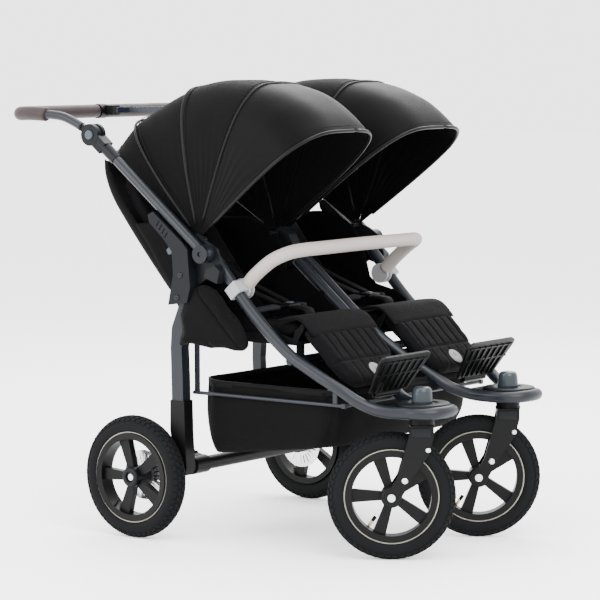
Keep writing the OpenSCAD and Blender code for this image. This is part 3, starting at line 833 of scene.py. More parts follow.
@dataclass
class PushBar:
    """The push bar's tube and its stitched grips."""

    tube_r: float = 11.0
    grip_r: float = 17.5
    pusher_x: float = 346.5
    pivot: tuple[float, float] = (
        -212 + 444 * math.cos(math.radians(38.8)),
        703 + 444 * math.sin(math.radians(38.8)),
    )
    front: tuple[float, float] = (412.0, 1030.0)

    def half(self, side: int) -> list[Vector]:
        """The bar's centre line from one joint to the middle."""
        (py, pz), (fy, fz), x = self.pivot, self.front, self.pusher_x
        mm = [(x, py + 38, pz + 19), (x, py + 64, pz + 31), (x, py + 105, pz + 44), (x, py + 170, fz),
              (x - 3, fy - 66, fz + 1), (x - 16, fy - 26, fz), (x - 48, fy - 3, fz), (x - 100, fy, fz),
              (0, fy, fz)]
        return smooth_path([at(side * a, b, c) for a, b, c in mm], 10)

    def build(self) -> None:
        """Builds the tube, the two grips and their stitches."""
        left, right = self.half(-1), self.half(1)
        tube = sweep("push_bar", left + right[-2::-1], circle(self.tube_r / 1000, 24), FRAME)
        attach(tube, "push_bar")
        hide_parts("push_bar_frame")
        for label, side in SIDES.items():
            path = [p for p in self.half(side)[27:-1] if abs(p.x) > 0.02]
            path.append(at(side * 14, *self.front))
            dense = smooth_path(path[::3] + [path[-1]], 8)
            grip = self._grip(f"push_bar_grip_{label}", dense)
            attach(grip, "push_bar")
            stitches = self._stitches(f"grip_stitches_{label}", dense)
            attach(stitches, "push_bar")
            if side < 0:
                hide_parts("push_bar_grips")
        LOG.info("push bar built")

    def _grip(self, name: str, path: list[Vector]) -> bpy.types.Object:
        """A padded sleeve along the path, rounded at both ends and pulled in along its seam."""
        n, r = 28, self.grip_r / 1000
        verts = []
        for i, p in enumerate(path):
            along = (path[min(i + 1, len(path) - 1)] - path[max(i - 1, 0)]).normalized()
            up = Vector((0, 0, 1))
            u = along.cross(up).normalized()
            v = u.cross(along).normalized()
            end = min(i, len(path) - 1 - i)
            scale = (0.72, 0.9, 0.97, 1.0)[min(end, 3)]
            for k in range(n):
                a = 2 * math.pi * k / n
                seam = 1 - 0.07 * groove((a - 1.5 * math.pi) / 0.25, 1.0)
                rr = r * scale * seam + 0.0003 * wobble(p * 30 + Vector((a, 0, 0)), 1.0)
                verts.append(p + u * rr * math.cos(a) + v * rr * math.sin(a))
        last = (len(path) - 1) * n
        faces = grid_faces(len(path), n, True) + [tuple(range(n)), tuple(reversed(range(last, last + n)))]
        return make(name, verts, faces, GRIP)

    def _stitches(self, name: str, path: list[Vector]) -> bpy.types.Object:
        """A row of small stitches under the grip."""
        template = rounded_box("stitch", (0.0042, 0.0011, 0.0011), 0.0004, Matrix(), THREAD)
        spots, gap, walked = [], 0.008, 0.0
        for a, b in zip(path[2:-3], path[3:-2]):
            step = (b - a).length
            while walked < step:
                along = (b - a).normalized()
                p = a.lerp(b, walked / step) - Vector((0, 0, self.grip_r / 1000 * 0.955))
                for lean in (0.5, -0.5):
                    turned = Matrix.Rotation(lean, 3, "Z") @ along
                    spots.append((p + along.cross(Vector((0, 0, 1))) * 0.0022 * math.copysign(1, lean),
                                  basis(turned, Vector((0, 0, 1)))))
                walked += gap
            walked -= step
        return Repeater.place(name, template, spots, THREAD)


@dataclass
class Bumper:
    """The foam-covered bar across both seats."""

    r: float = 16.5
    arm_x: float = 286.5

    def build(self) -> None:
        """Builds the bar with its two arms."""
        x = self.arm_x
        mm = [(x, -296, 630), (x, -322, 656), (x - 5, -366, 690), (x - 24, -404, 709), (x - 60, -424, 715),
              (x - 110, -430, 716), (0, -432, 717)]
        half = smooth_path([at(a, b, c) for a, b, c in mm], 8)
        path = half + [Vector((-p.x, p.y, p.z)) for p in half[-2::-1]]
        bar = sweep("bumper_foam", path, circle(self.r / 1000, 28), FOAM)
        parts = [bar]
        for side in (-1, 1):
            spot = Matrix.Translation(at(side * x, -284, 619))
            profile = [(0.0062, -0.0031), (0.022, -0.0031), (0.022, 0.0031), (0.0062, 0.0031)]
            parts.append(spin(f"bumper_eye_{side}", profile, spot, GREY, 48))
        piece = joined("bumper_bar_foam", parts)
        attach(piece, "bumper")
        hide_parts("bumper_bar")
        LOG.info("bumper built")


@dataclass
class Wheels:
    """Tyres with block tread and reflective rings, hub caps and valves."""

    radius: float = 0.150
    section: float = 0.0244
    swivel: float = math.radians(34.5)

    def places(self) -> list[tuple[str, str, Matrix, int]]:
        """Each wheel's tyre node, body, placing matrix and outward side."""
        out = []
        for label, side in SIDES.items():
            spot = Matrix.Translation(at(side * 355, 0, 150))
            out.append((f"rear_tyre_{label}", f"rear_wheel_{label}", spot, side))
            turn = Matrix.Rotation(self.swivel, 4, "Z")
            spot = Matrix.Translation(at(side * 186, -730, 0)) @ turn @ Matrix.Translation((0, 0.071, 0.150))
            out.append((f"front_tyre_{label}", f"front_wheel_{label}", spot, 0))
        return out

    def build(self) -> None:
        """Builds every wheel's tyre and trim."""
        for node, body, place, side in self.places():
            tyre = self._tyre(f"{node}_rubber", place)
            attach(tyre, body)
            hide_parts(node)
            trim = self._trim(f"{body}_trim", place, side)
            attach(trim, body)
            for face in (-1, 1) if side == 0 else (side,):
                ring = self._ring(f"{body}_ring_{'a' if face < 0 else 'b'}", place, face)
                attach(ring, body)
            LOG.info("%s built", body)

    def _tyre(self, name: str, place: Matrix) -> bpy.types.Object:
        """The tyre's carcass and its moulded tread blocks."""
        centre, r = self.radius - self.section, self.section - 0.0018
        profile = [(centre + r * math.cos(a), r * math.sin(a)) for a in np.linspace(0, 2 * math.pi, 33)[:-1]]
        carcass = spin(name + "_carcass", profile, place, TYRE, 96)
        template = rounded_box("block", (0.0125, 0.0082, 0.0036), 0.0009, Matrix(), TYRE)
        spots = []
        rows = ((0.0, 0.2, 0.0), (0.42, -0.45, 0.5), (-0.42, 0.45, 0.5), (0.85, 0.1, 0.0), (-0.85, -0.1, 0.0))
        count, turn = 54, place.to_3x3()
        for lean, skew, offset in rows:
            for k in range(count):
                a = 2 * math.pi * (k + offset) / count
                radial = Vector((0, math.cos(a), math.sin(a)))
                out = (radial * math.cos(lean) + Vector((math.sin(lean), 0, 0))).normalized()
                p = radial * centre + out * (r + 0.0003)
                along = Vector((0, -math.sin(a), math.cos(a)))
                face = basis(Matrix.Rotation(skew, 3, out) @ along, out)
                spots.append((place @ p, turn @ face))
        blocks = Repeater.place(name + "_blocks", template, spots, TYRE)
        return joined(name, [carcass, blocks])

    def _ring(self, name: str, place: Matrix, face: int) -> bpy.types.Object:
        """The pale reflective ring on a sidewall."""
        centre, r = self.radius - self.section, self.section - 0.0018
        inner, outer = [], []
        for radius in np.linspace(0.1078, 0.1112, 5):
            dx = math.sqrt(max(r * r - (radius - centre) ** 2, 0))
            outer.append((radius, face * (dx + 0.0006)))
            inner.append((radius, face * (dx - 0.0006)))
        return spin(name, outer + inner[::-1], place, REFLECT, 96)

    def _trim(self, name: str, place: Matrix, side: int) -> bpy.types.Object:
        """Hub cap and valve stem."""
        parts = []
        for face in (-1, 1) if side == 0 else (side,):
            edge = 0.0262 if side == 0 else 0.0202
            cap = [(0.0125, edge), (0.024, edge), (0.0225, edge + 0.003), (0.014, edge + 0.0045), (0.0125, edge + 0.003)]
            parts.append(spin(f"cap_{face}", [(a, face * b) for a, b in cap], place, SLATE, 48))
        turn = Matrix.Rotation(math.radians(36), 4, "X")
        stem = sweep("stem", [place @ turn @ Vector((0.013, 0, -0.092 + 0.002 * k)) for k in range(9)],
                     circle(0.0035, 12), BRASS)
        cap2 = sweep("stem_cap", [place @ turn @ Vector((0.013, 0, -0.0765 + 0.0025 * k)) for k in range(6)],
                     circle(0.0042, 12), BLACK)
        return joined(name, parts + [stem, cap2])


@dataclass
class ForkTrim:
    """The grey brackets and bolts on the swivel forks."""

    swivel: float = math.radians(34.5)

    def build(self) -> None:
        """Builds both forks' fittings."""
        for label, side in SIDES.items():
            place = Matrix.Translation(at(side * 186, -730, 0)) @ Matrix.Rotation(self.swivel, 4, "Z")
            parts = []
            for face in (-1, 1):
                spot = place @ Matrix.Translation((face * 0.0375, 0.002, 0.303))
                parts.append(rounded_box("bracket", (0.0035, 0.044, 0.022), 0.0014, spot, SLATE))
            for spot, radius in (((0, 0.066, 0.196 - 0.006), 0.0075), ((0, 0.012, 0.262), 0.006)):
                for face in (-1, 1):
                    local = Matrix.Translation((face * 0.0365, spot[1] - 0.026, spot[2]))
                    profile = [(0.0001, 0.0), (radius, 0.0), (radius, face * 0.0018), (radius * 0.6, face * 0.003),
                               (0.0001, face * 0.003)]
                    parts.append(spin("bolt", profile, place @ local, STEEL, 24))
            boot = [(0.0, -0.006), (0.0295, -0.006), (0.031, 0.0), (0.0285, 0.005), (0.0295, 0.010), (0.0275, 0.016),
                    (0.0, 0.016)]
            turn = Matrix.Rotation(math.radians(-90), 4, "Y")
            parts.append(spin("boot", [(max(r, 0.0001), h) for r, h in boot],
                              place @ Matrix.Translation((0, 0, 0.319)) @ turn, BLACK, 48))
            trim = joined(f"fork_trim_{label}", parts)
            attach(trim, f"caster_{label}")
        LOG.info("fork trim built")


@dataclass
class Arch:
    """The shape of a hood's cross-section at one angle above the forward horizontal.

    Attributes:
        angle: Degrees above the forward horizontal.
        top: Radius at the crown, in mm from the pivot axis.
        outer: Furthest outward distance from the middle at the crown's height, in mm.
        inner: Nearest distance to the middle at the crown's height, in mm.
        square: Lower is squarer.
    """

    angle: float
    top: float
    outer: float
    inner: float
    square: float


@dataclass
class Hood:
    """One seat's hood: three panels that nest as it folds, sharing one continuous surface at rest."""

    label: str
    side: int
    arches: tuple[Arch, ...] = (
        Arch(37.5, 424, 366, 14, 0.50),
        Arch(53.0, 410, 356, 16, 0.52),
        Arch(70.0, 391, 340, 18, 0.55),
        Arch(88.0, 381, 330, 22, 0.57),
        Arch(105.0, 372, 318, 30, 0.58),
        Arch(120.0, 374, 318, 36, 0.58),
        Arch(133.0, 384, 322, 38, 0.56),
        Arch(147.0, 384, 321, 35, 0.52),
    )
    base: float = 14.0

    def profile(self, angle: float) -> tuple[float, ...]:
        """Interpolated (top, outer, inner, square) at an angle."""
        angles = [a.angle for a in self.arches]
        rows = [(a.top, a.outer, a.inner, a.square) for a in self.arches]
        return tuple(float(np.interp(angle, angles, [row[k] for row in rows])) for k in range(4))

    def point(self, angle: float, t: float, lift: float) -> Vector:
        """A point of the hood's surface.

        Args:
            angle: Degrees above the forward horizontal.
            t: 0 at the outer hinge, 1 at the inner hinge.
            lift: Distance outside the surface, in mm.

        Returns:
            The row-frame point in metres.
        """
        top, outer, inner, square = self.profile(angle)
        a = math.pi * t
        u = math.copysign(abs(math.cos(a)) ** square, math.cos(a))
        v = max(math.sin(a), 0.0) ** (square + 0.1)
        low_out, low_in = 324.0, 19.0
        out_x = low_out + (outer - low_out) * min(1.0, v * 1.25)
        in_x = low_in + (inner - low_in) * min(1.0, v * 1.25)
        middle = (out_x + in_x) / 2
        x = middle + (out_x - in_x + 2 * lift) / 2 * u
        r = self.base + (top - self.base) * v + lift * v
        phi = math.radians(angle)
        return at(self.side * x, HOOD_PIVOT[0] - r * math.cos(phi), HOOD_PIVOT[1] + r * math.sin(phi))

    def panel(self, name: str, low: float, high: float, lift: float, sag: float, finish: Finish) -> bpy.types.Object:
        """One panel between two bows, as a thin closed sheet.

        Args:
            name: The piece's name.
            low: The front bow's angle.
            high: The rear bow's angle.
            lift: How far outside the common surface it lies, in mm.
            sag: How far the cloth hangs in between the bows, in mm. Negative stands out.
            finish: The cloth's finish.

        Returns:
            The panel's object.
        """
        rows, cols = 30, 72
        pts = []
        for i in range(rows + 1):
            f = i / rows
            angle = low + (high - low) * f
            for k in range(cols + 1):
                t = k / cols
                p = self.point(angle, t, lift)
                pull = sag * math.sin(math.pi * f) * math.sin(math.pi * t) ** 0.6
                crease = 1.1 * wobble(p * 1000, 0.022, lift + 3) * math.sin(math.pi * f)
                crease += 0.9 * math.sin(f * 40 + 6 * wobble(p * 1000, 0.012)) * math.exp(-((t - 0.06) / 0.09) ** 2)
                crease += 0.9 * math.sin(f * 36 + 5 * wobble(p * 1000, 0.012)) * math.exp(-((t - 0.94) / 0.09) ** 2)
                pts.append(self.point(angle, t, lift - pull + crease))
        obj = make(name, pts, grid_faces(rows + 1, cols + 1), finish)
        solid = obj.modifiers.new("wall", "SOLIDIFY")
        solid.thickness = SHEET_WALL
        solid.offset = -1.0 if self._outward(obj) else 1.0
        return baked(obj)

    def _outward(self, obj: bpy.types.Object) -> bool:
        """True if the open panel's normals point away from the hood's inside."""
        centre = at(self.side * 172, HOOD_PIVOT[0] - 40, HOOD_PIVOT[1] + 150)
        total = sum((f.center - centre).dot(f.normal) * f.area for f in obj.data.polygons)
        return total > 0

    def bow(self, name: str, angle: float, lift: float, r: float, finish: Finish) -> bpy.types.Object:
        """A rounded piping or bow along one arch."""
        path = [self.point(angle, t, lift) for t in np.linspace(0.006, 0.994, 90)]
        return sweep(name, path, circle(r, 10), finish, Vector((1, 0.01, 0)))

    def build(self) -> None:
        """Builds the hood's panels and bows."""
        label = self.label
        specs = (
            ("hood_rear", 103.0, 147.0, 0.0, 5.0, HOOD, "front_frame", "hood_fabric", (147.0, 133.0, 104.5)),
            ("hood_middle", 68.5, 105.0, 2.6, 3.5, HOOD, f"hood_mid_{label}", "hood_fabric", (105.0,)),
            ("hood_peak", 37.5, 70.0, 5.2, -3.0, VISOR, f"hood_visor_{label}", "visor_fabric", (37.5, 70.0)),
        )
        for stem, low, high, lift, sag, finish, body, slot, bows in specs:
            cloth = self.panel(f"{stem}_{label}", low, high, lift, sag, finish)
            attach(cloth, body)
            length = 0.37 * math.radians(high - low)
            trims = [self.bow(f"{stem}_bow_{k}", a, lift + 0.4, 0.0032 if a != 37.5 else 0.0042, PIPING)
                     for k, a in enumerate(bows)]
            trims += [self.bow(f"{stem}_stitch_{k}", a + (2.2 if a < 100 else -2.2), lift + 0.1, 0.0009, SEAM)
                      for k, a in enumerate(bows)]
            hem = joined(f"{stem}_piping_{label}", trims)
            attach(hem, body)
            self._declare(length, stem)
            LOG.info("%s %s built", stem, label)

    def _declare(self, length: float, stem: str) -> None:
        """Hides the CAD panel that the sheet replaces."""
        if stem == "hood_middle":
            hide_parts(f"hood_mid_panel_{self.label}")
        elif stem == "hood_peak":
            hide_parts(f"hood_visor_{self.label}")
        elif self.side < 0:
            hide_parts("hood_rear_panels")


@dataclass
class Seats:
    """Cushions, backrests, leg-rests and harnesses of both seats."""

    lean: float = math.radians(51)
    slope: float = math.radians(45)

    def local(self, pivot: tuple[float, float], turn: float) -> Matrix:
        """From a pad's own metres to the row frame, on the right-hand seat."""
        return Matrix.Translation(at(SEAT_X, *pivot)) @ Matrix.Rotation(turn, 4, "X")

    def build(self) -> None:
        """Builds every seat piece on both sides."""
        builders = {
            "backrest": (self._backrest, "backrest_{}", ("backrest_{}",)),
            "leg_rest": (self._leg_rest, "leg_rest_{}", ("leg_rest_{}",)),
            "cushion": (self._cushion, "front_frame", ()),
        }
        for stem, (builder, body, replaced) in builders.items():
            right = builder(f"{stem}_pad_right")
            left = mirrored(right, f"{stem}_pad_left")
            for label, piece in (("left", left), ("right", right)):
                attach(piece, body.format(label))
                for node in replaced:
                    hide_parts(node.format(label))
                if stem == "cushion" and label == "left":
                    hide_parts("seat_pads")
            LOG.info("%s pads built", stem)
        for label, side in SIDES.items():
            self._harness(label, side)
            self._badge(label, side)
            self._side_cloth(label, side)
            self._knee(label, side)
            self._wings(label, side)
            LOG.info("harness %s built", label)

    def _backrest(self, name: str) -> bpy.types.Object:
        """The reclining backrest's quilted pad."""
        def lines(x: float, y: float) -> float:
            deep = max(groove(abs(x) - 84, 5), groove(y - 250, 5) if abs(x) < 84 else 0)
            if abs(x) < 84:
                deep = max(deep, 0.6 * max(groove(y - k, 4) for k in (90, 130, 170, 210, 340, 400)))
            return deep

        outline = [(-118, -4), (118, -4), (119, 376), (104, 446), (68, 486), (-68, 486), (-104, 446), (-119, 376)]
        return Pad(name, outline, -23, 7, self.local((-190, 520), self.lean), SEAT, lines, 5.0, 8.0, 6.0).build()

    def _leg_rest(self, name: str) -> bpy.types.Object:
        """The sloping leg-rest, sewn across and lengthwise."""
        def lines(x: float, y: float) -> float:
            across = 31 if y > -122 else 36
            near = abs((x + across * 4.5) % across - across / 2)
            return max(groove(y + 34, 4), groove(y + 122, 4), (0.85 if y > -122 else 0.45) * groove(near, 4))

        outline = [(-131, -10), (131, -10), (131, -106), (119, -160), (101, -187), (82, -193), (-60, -193),
                   (-80, -185), (-102, -158), (-122, -110)]
        return Pad(name, outline, -16, 8, self.local((-465, 540), self.slope), SEAT, lines, 3.5, 6.0, 4.5).build()

    def _cushion(self, name: str) -> bpy.types.Object:
        """The seat cushion, its front edge rolled down over the knee."""
        def lines(x: float, y: float) -> float:
            near = min(abs(x - k) for k in (-96, -48, 0, 48, 96))
            return max(0.8 * groove(near, 5), groove(y + 118, 5))

        outline = [(-122, -8), (122, -8), (122, -206), (112, -216), (-112, -216), (-122, -206)]
        place = Matrix.Translation(at(SEAT_X, -226, 500))
        def rise(p: Vector) -> Vector:
            p.z += 12 * min(1.0, max(0.0, (-p.y - 110) / 90)) ** 2
            return p
        return Pad(name, outline, 8, 32, place, SEAT, lines, 4.0, 7.0, 5.5, rise).build()

    def _spot(self, side: int, x: float, y: float, z: float) -> Vector:
        """A point in the backrest's own millimetres, in the row frame."""
        p = self.local((-190, 520), self.lean) @ (Vector((x, y, z)) / 1000)
        return Vector((side * p.x, p.y, p.z))

    def _harness(self, label: str, side: int) -> None:
        """Shoulder straps and pads, lap pads, crotch strap and buckle."""
        back, seat = f"backrest_{label}", "front_frame"
        buckle = at(side * SEAT_X, -330, 573)
        section = strap_section(0.025, 0.0022)
        for k, x in enumerate((-52.0, 52.0)):
            top = self._spot(side, x, 400, 10)
            points = [top, self._spot(side, x, 396, 24), self._spot(side, x * 0.95, 300, 28),
                      self._spot(side, x * 0.8, 190, 30), self._spot(side, x * 0.6, 120, 40),
                      buckle + Vector((side * x * 0.0004, 0.02, 0.006))]
            path = smooth_path(points, 10)
            strap = sweep(f"shoulder_strap_{k}_{label}", path, section, WEBBING, Vector((0, -0.7, 0.6)))
            pad_path = smooth_path(points[1:5], 8)[2:-5]
            pad = sweep(f"shoulder_pad_{k}_{label}", pad_path, strap_section(0.046, 0.011), SEAM,
                        Vector((0, -0.7, 0.6)))
            self._soften(pad)
            for piece in (strap, pad):
                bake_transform(piece)
        for k, x in enumerate((-1, 1)):
            start = at(side * (SEAT_X + x * 112), -250, 548)
            points = [start, at(side * (SEAT_X + x * 96), -285, 562), at(side * (SEAT_X + x * 50), -318, 571),
                      buckle + Vector((side * x * 0.016, 0.004, 0))]
            path = smooth_path(points, 8)
            strap = sweep(f"lap_strap_{k}_{label}", path, section, WEBBING)
            pad = sweep(f"lap_pad_{k}_{label}", path[5:-6], strap_section(0.040, 0.012), LAP_PAD)
            self._soften(pad)
            for piece in (strap, pad):
                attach(piece, seat)
        points = [at(side * SEAT_X, -392, 552), at(side * SEAT_X, -384, 566), at(side * SEAT_X, -352, 570), buckle]
        crotch = sweep(f"crotch_strap_{label}", smooth_path(points, 8), strap_section(0.034, 0.008), SEAM)
        clip = joined(f"harness_buckle_{label}", [
            rounded_box("clip", (0.044, 0.040, 0.013), 0.005, Matrix.Translation(buckle), BLACK),
            rounded_box("press", (0.016, 0.016, 0.006), 0.0025,
                        Matrix.Translation(buckle + Vector((0, 0, 0.006))), BUTTON)])
        for piece, slot in ((crotch, "seat_fabric"), (clip, "black_plastic")):
            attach(piece, seat)

    @staticmethod
    def _soften(obj: bpy.types.Object) -> None:
        """Rounds a strap pad's edges."""
        sub = obj.modifiers.new("sub", "SUBSURF")
        sub.levels = sub.render_levels = 1
        baked(obj)

    def _badge(self, label: str, side: int) -> None:
        """A plain round patch on the leg-rest."""
        place = self.local((-465, 540), self.slope) @ Matrix.Translation((0.004, -0.160, 0.0128))
        profile = [(0.0001, 0.0), (0.021, 0.0), (0.0205, 0.0013), (0.0001, 0.0016)]
        turn = Matrix.Rotation(math.radians(-90), 4, "Y")
        badge = spin(f"leg_rest_patch_{label}", profile, place @ turn, BADGE, 48)
        if side < 0:
            copy = mirrored(badge, "patch")
            bpy.data.objects.remove(badge)
            copy.name = f"leg_rest_patch_{label}"
            badge = copy
        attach(badge, f"leg_rest_{label}")

    def _knee(self, label: str, side: int) -> None:
        """The padded cloth that rolls from the cushion over the knee onto the leg-rest."""
        mm = [(-396, 551), (-420, 556), (-442, 558), (-458, 554), (-472, 545), (-486, 532), (-498, 520)]
        path = smooth_path([at(side * SEAT_X, y, z) for y, z in mm], 6)
        rows, half = [], 0.131
        for i, p in enumerate(path):
            along = (path[min(i + 1, len(path) - 1)] - path[max(i - 1, 0)]).normalized()
            out = Vector((0, along.z, -along.y))
            out = out if out.z > 0 or out.y < 0 else -out
            taper = min(1.0, 0.35 + 0.2 * min(i, len(path) - 1 - i))
            for k in range(41):
                a = 2 * math.pi * k / 41
                x = half * math.copysign(abs(math.cos(a)) ** 0.35, math.cos(a))
                lift = 0.0052 * taper * math.copysign(abs(math.sin(a)) ** 0.5, math.sin(a))
                fold = 0.0008 * wobble(Vector((x, p.y, p.z)) * 1000, 0.04, 5.0)
                rows.append(p + Vector((x, 0, 0)) + out * (lift + fold))
        last = (len(path) - 1) * 41
        faces = grid_faces(len(path), 41, True) + [tuple(range(41)), tuple(reversed(range(last, last + 41)))]
        knee = make(f"knee_roll_{label}", rows, faces, SEAT)
        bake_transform(knee)

    def _wings(self, label: str, side: int) -> None:
        """The cloth walls between the backrest, the hood and the seat's sides."""
        inner = ([(-204, 508), (-222, 632), (-212, 700), (-176, 742), (-96, 772)],
                 [(-112, 520), (-78, 596), (-38, 652), (0, 704), (46, 764)])
        outer = ([(-392, 512), (-340, 548), (-296, 570), (-250, 592), (-232, 640), (-216, 690), (-176, 742), (-96, 772)],
                 [(-112, 520), (-98, 548), (-84, 580), (-66, 612), (-44, 642), (-20, 676), (4, 712), (46, 764)])
        for stem, x, edges in (("outer", 296.4, outer), ("inner", 34.4, inner)):
            low, high = (smooth_path([(0, y, z) for y, z in edge], 8) for edge in edges)
            pts = []
            for i, (a, b) in enumerate(zip(low, high)):
                for k in range(15):
                    p = a.lerp(b, k / 14)
                    fold = 1.6 * math.sin(0.55 * i + 0.35 * k) * math.sin(math.pi * k / 14)
                    pts.append(at(side * (x + (fold if stem == "outer" else -0.5 * fold)), p.y, p.z))
            wing = make(f"seat_wing_{stem}_{label}", pts, grid_faces(len(low), 15), HOOD)
            wall = wing.modifiers.new("wall", "SOLIDIFY")
            wall.thickness = 0.0016
            wall.offset = 0
            baked(wing)
            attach(wing, "front_frame")

    def _side_cloth(self, label: str, side: int) -> None:
        """The cloth shell behind the backrest."""
        pts = []
        rows = [(0, 14), (60, 26), (160, 40), (280, 46), (380, 46), (450, 42), (505, 30), (534, 10)]
        path = [Vector(r) for r in ((0, r[0], r[1]) for r in rows)]
        for y, bulge in [(p.y, p.z) for p in smooth_path([tuple(p) for p in path], 4)]:
            width = 126 - 26 * max(0.0, (y - 400) / 134) ** 2
            ring = []
            for k in range(33):
                a = math.pi * k / 32
                x = -width * math.copysign(abs(math.cos(a)) ** 0.45, math.cos(a))
                ring.append(self._spot(side, x, y, -26 - bulge * math.sin(a) ** 0.6))
            pts += ring
        n = len(pts) // 33
        shell = make(f"seat_back_{label}", pts, grid_faces(n, 33), HOOD)
        wall = shell.modifiers.new("wall", "SOLIDIFY")
        wall.thickness = SHEET_WALL
        baked(shell)
        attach(shell, f"backrest_{label}")


@dataclass
class Storage:
    """The basket under the seats and the pouch on the left side."""

    def build(self) -> None:
        """Builds the basket, its binding and the pouch."""
        basket = self._basket()
        binding = self._binding()
        for piece in (basket, binding):
            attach(piece, "front_frame")
            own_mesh(piece)
        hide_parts("basket")
        self._front_panel()
        self._pouch()
        LOG.info("storage built")

    def _front_panel(self) -> None:
        """The cloth between the frame's cross bar and the basket's front rim."""
        pts = []
        for i in range(13):
            f = i / 12
            y, z = -446 - 114 * f, 447 - 62 * f - 10 * math.sin(math.pi * f)
            for k in range(61):
                x = (k / 30 - 1) * 272
                fold = 1.5 * math.sin(k * 0.8) * math.sin(math.pi * f)
                pts.append(at(x, y, z + fold))
        panel = make("basket_front_cloth", pts, grid_faces(13, 61), BASKET)
        wall = panel.modifiers.new("wall", "SOLIDIFY")
        wall.thickness = 0.0018
        wall.offset = 0
        baked(panel)
        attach(panel, "front_frame")

    @staticmethod
    def rim(u: float) -> tuple[float, float]:
        """A point of the rim's rounded rectangle, as (x, y) in mm, for u from 0 to 1."""
        a = 2 * math.pi * u
        c, s = math.cos(a), math.sin(a)
        x = 281 * math.copysign(abs(c) ** 0.22, c)
        y = 214 * math.copysign(abs(s) ** 0.22, s)
        return x, -355 + y

    def _depth(self, x: float, y: float) -> float:
        """The floor's height under a point, in mm."""
        return float(np.interp(y, (-570, -530, -340, -170, -130), (262, 256, 232, 212, 210)))

    def _basket(self) -> bpy.types.Object:
        """A sagging cloth tub, hung from its rim."""
        rows, cols = 34, 144
        pts = []
        for i in range(rows + 1):
            v = i / rows
            for k in range(cols):
                x, y = self.rim(k / cols)
                wall = min(v / 0.62, 1.0)
                floor = max((v - 0.62) / 0.38, 0.0)
                bulge = 4 * math.sin(math.pi * wall) - 16 * wall**3
                cx, cy = x / 281, (y + 355) / 214
                px = x + bulge * cx
                py = y + bulge * cy + (-22 * wall if cy < -0.9 else 0)
                if cy < -0.5:
                    py += 36 * wall * min(1.0, (-cy - 0.5) / 0.4)
                top = 388 - 4 * math.sin(3 * math.pi * (k / cols)) ** 2
                low = self._depth(px, py)
                pz = top + (low - top) * (1 - (1 - wall) ** 1.15)
                if floor > 0:
                    px *= 1 - floor
                    py = -350 + (py + 350) * (1 - floor)
                    pz = self._depth(px, py)
                fold = 2.2 * wobble(Vector((x * 1.0, y * 1.0, 300 * v)), 0.02, 2.0) * math.sin(math.pi * min(v * 1.3, 1))
                fold += 1.8 * math.sin(k * 0.9) * math.exp(-v * 9)
                pts.append(at(px + fold * cx, py + fold * cy, pz + (abs(fold) * 0.4 if floor else 0)))
        obj = make("basket_cloth", pts, grid_faces(rows + 1, cols, True), BASKET)
        wall = obj.modifiers.new("wall", "SOLIDIFY")
        wall.thickness = SHEET_WALL
        wall.offset = 0
        return baked(obj)

    def _binding(self) -> bpy.types.Object:
        """The bound rim of the basket."""
        loop = []
        for k in range(145):
            x, y = self.rim(k / 144)
            loop.append(at(x, y, 388 - 4 * math.sin(3 * math.pi * (k % 144 / 144)) ** 2))
        rim = sweep("rim", loop, strap_section(0.005, 0.016), SEAM)
        return joined("basket_binding", [rim])

    def _pouch(self) -> None:
        """The stuffed pouch on the left side frame, with its sewn lines."""
        outline = [(-128, 480), (-134, 560), (-150, 596), (-186, 628), (-214, 632), (-246, 620), (-290, 578),
                   (-326, 538), (-344, 494), (-330, 476), (-230, 470)]
        turn = Matrix(((0, 0, -1, 0), (1, 0, 0, SHIFT), (0, 1, 0, 0), (0, 0, 0, 1)))

        def lines(x: float, y: float) -> float:
            return max(groove(y - (1.02 * x + 812), 4), 0.5 * groove(y - 500, 4))

        pouch = Pad("side_pouch_cloth", [(y, z) for y, z in outline], 334, 350, turn, BASKET, lines, 4.0, 8.0, 5.0).build()
        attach(pouch, "front_frame")
        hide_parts("side_pouch")


# ---------- stage ----------


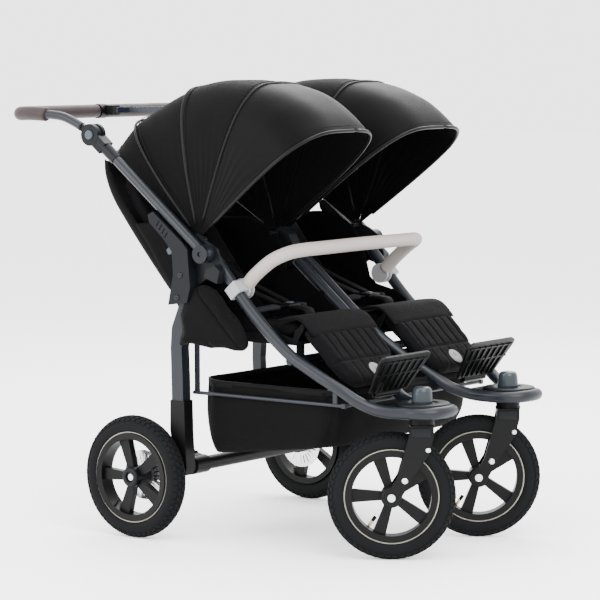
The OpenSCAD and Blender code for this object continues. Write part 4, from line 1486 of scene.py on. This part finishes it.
@dataclass
class Studio:
    """Camera, lights and floor.

    Attributes:
        eye: The camera's place.
        aim: The point it looks at.
        lens: Focal length in mm on a 36 mm sensor.
        roll: Roll in degrees.
        shift_y: The camera's vertical shift.
    """

    eye: tuple[float, float, float] = (-5.3126, -4.2060 + SHIFT, 1.1761)
    aim: tuple[float, float, float] = (-0.0303, -0.2602 + SHIFT, 0.600)
    lens: float = 160.9
    roll: float = -0.15
    shift_y: float = -0.019
    world_light: float = 3.2
    floor_glow: float = 0.3

    def build(self) -> None:
        """Creates the camera, four soft lights and a pale floor."""
        scene = bpy.context.scene
        data = bpy.data.cameras.new("camera")
        data.lens, data.shift_y, data.sensor_width = self.lens, self.shift_y, 36.0
        data.clip_end = 100
        camera = bpy.data.objects.new("camera", data)
        look = (Vector(self.aim) - Vector(self.eye)).to_track_quat("-Z", "Y")
        camera.matrix_world = (
            Matrix.Translation(self.eye) @ look.to_matrix().to_4x4()
            @ Matrix.Rotation(math.radians(self.roll), 4, "Z"))
        scene.collection.objects.link(camera)
        scene.camera = camera
        lights = (
            ("key", (-2.2, -3.6, 3.6), 3.2, 330),
            ("fill", (-3.8, 1.8, 2.2), 2.4, 170),
            ("rim", (2.6, 1.6, 3.4), 3.0, 150),
            ("top", (0.0, -0.2, 4.2), 3.4, 150),
        )
        for name, place, size, power in lights:
            lamp = bpy.data.lights.new(name, "AREA")
            lamp.energy, lamp.size = power, size
            obj = bpy.data.objects.new(name, lamp)
            aim = (Vector((0, 0, 0.5)) - Vector(place)).to_track_quat("-Z", "Y")
            obj.matrix_world = Matrix.Translation(place) @ aim.to_matrix().to_4x4()
            scene.collection.objects.link(obj)
        world = bpy.data.worlds.new("world")
        world.use_nodes = True
        sky = world.node_tree.nodes["Background"].inputs
        sky["Color"].default_value = (1, 1, 1, 1)
        sky["Strength"].default_value = self.world_light
        scene.world = world
        mesh = bpy.data.meshes.new("floor")
        mesh.from_pydata([(-30, -30, 0), (30, -30, 0), (30, 30, 0), (-30, 30, 0)], [], [(0, 1, 2, 3)])
        floor = bpy.data.objects.new("floor", mesh)
        mat = bpy.data.materials.new("floor")
        mat.use_nodes = True
        shader = mat.node_tree.nodes["Principled BSDF"].inputs
        shader["Base Color"].default_value = (0.93, 0.93, 0.93, 1)
        shader["Roughness"].default_value = 0.7
        shader["Emission Color"].default_value = (1, 1, 1, 1)
        shader["Emission Strength"].default_value = self.floor_glow
        mesh.materials.append(mat)
        scene.collection.objects.link(floor)


def main() -> None:
    """Loads the frame and builds everything round it."""
    logging.basicConfig(level=logging.INFO, format="%(message)s")
    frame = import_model()
    Studio().build()
    chassis = Chassis()
    chassis.dress(frame["nodes"])
    chassis.build()
    PushBar().build()
    Bumper().build()
    Wheels().build()
    ForkTrim().build()
    for label, side in SIDES.items():
        Hood(label, side).build()
    Seats().build()
    Storage().build()
    bpy.context.view_layer.update()


if __name__ == "__main__":
    main()
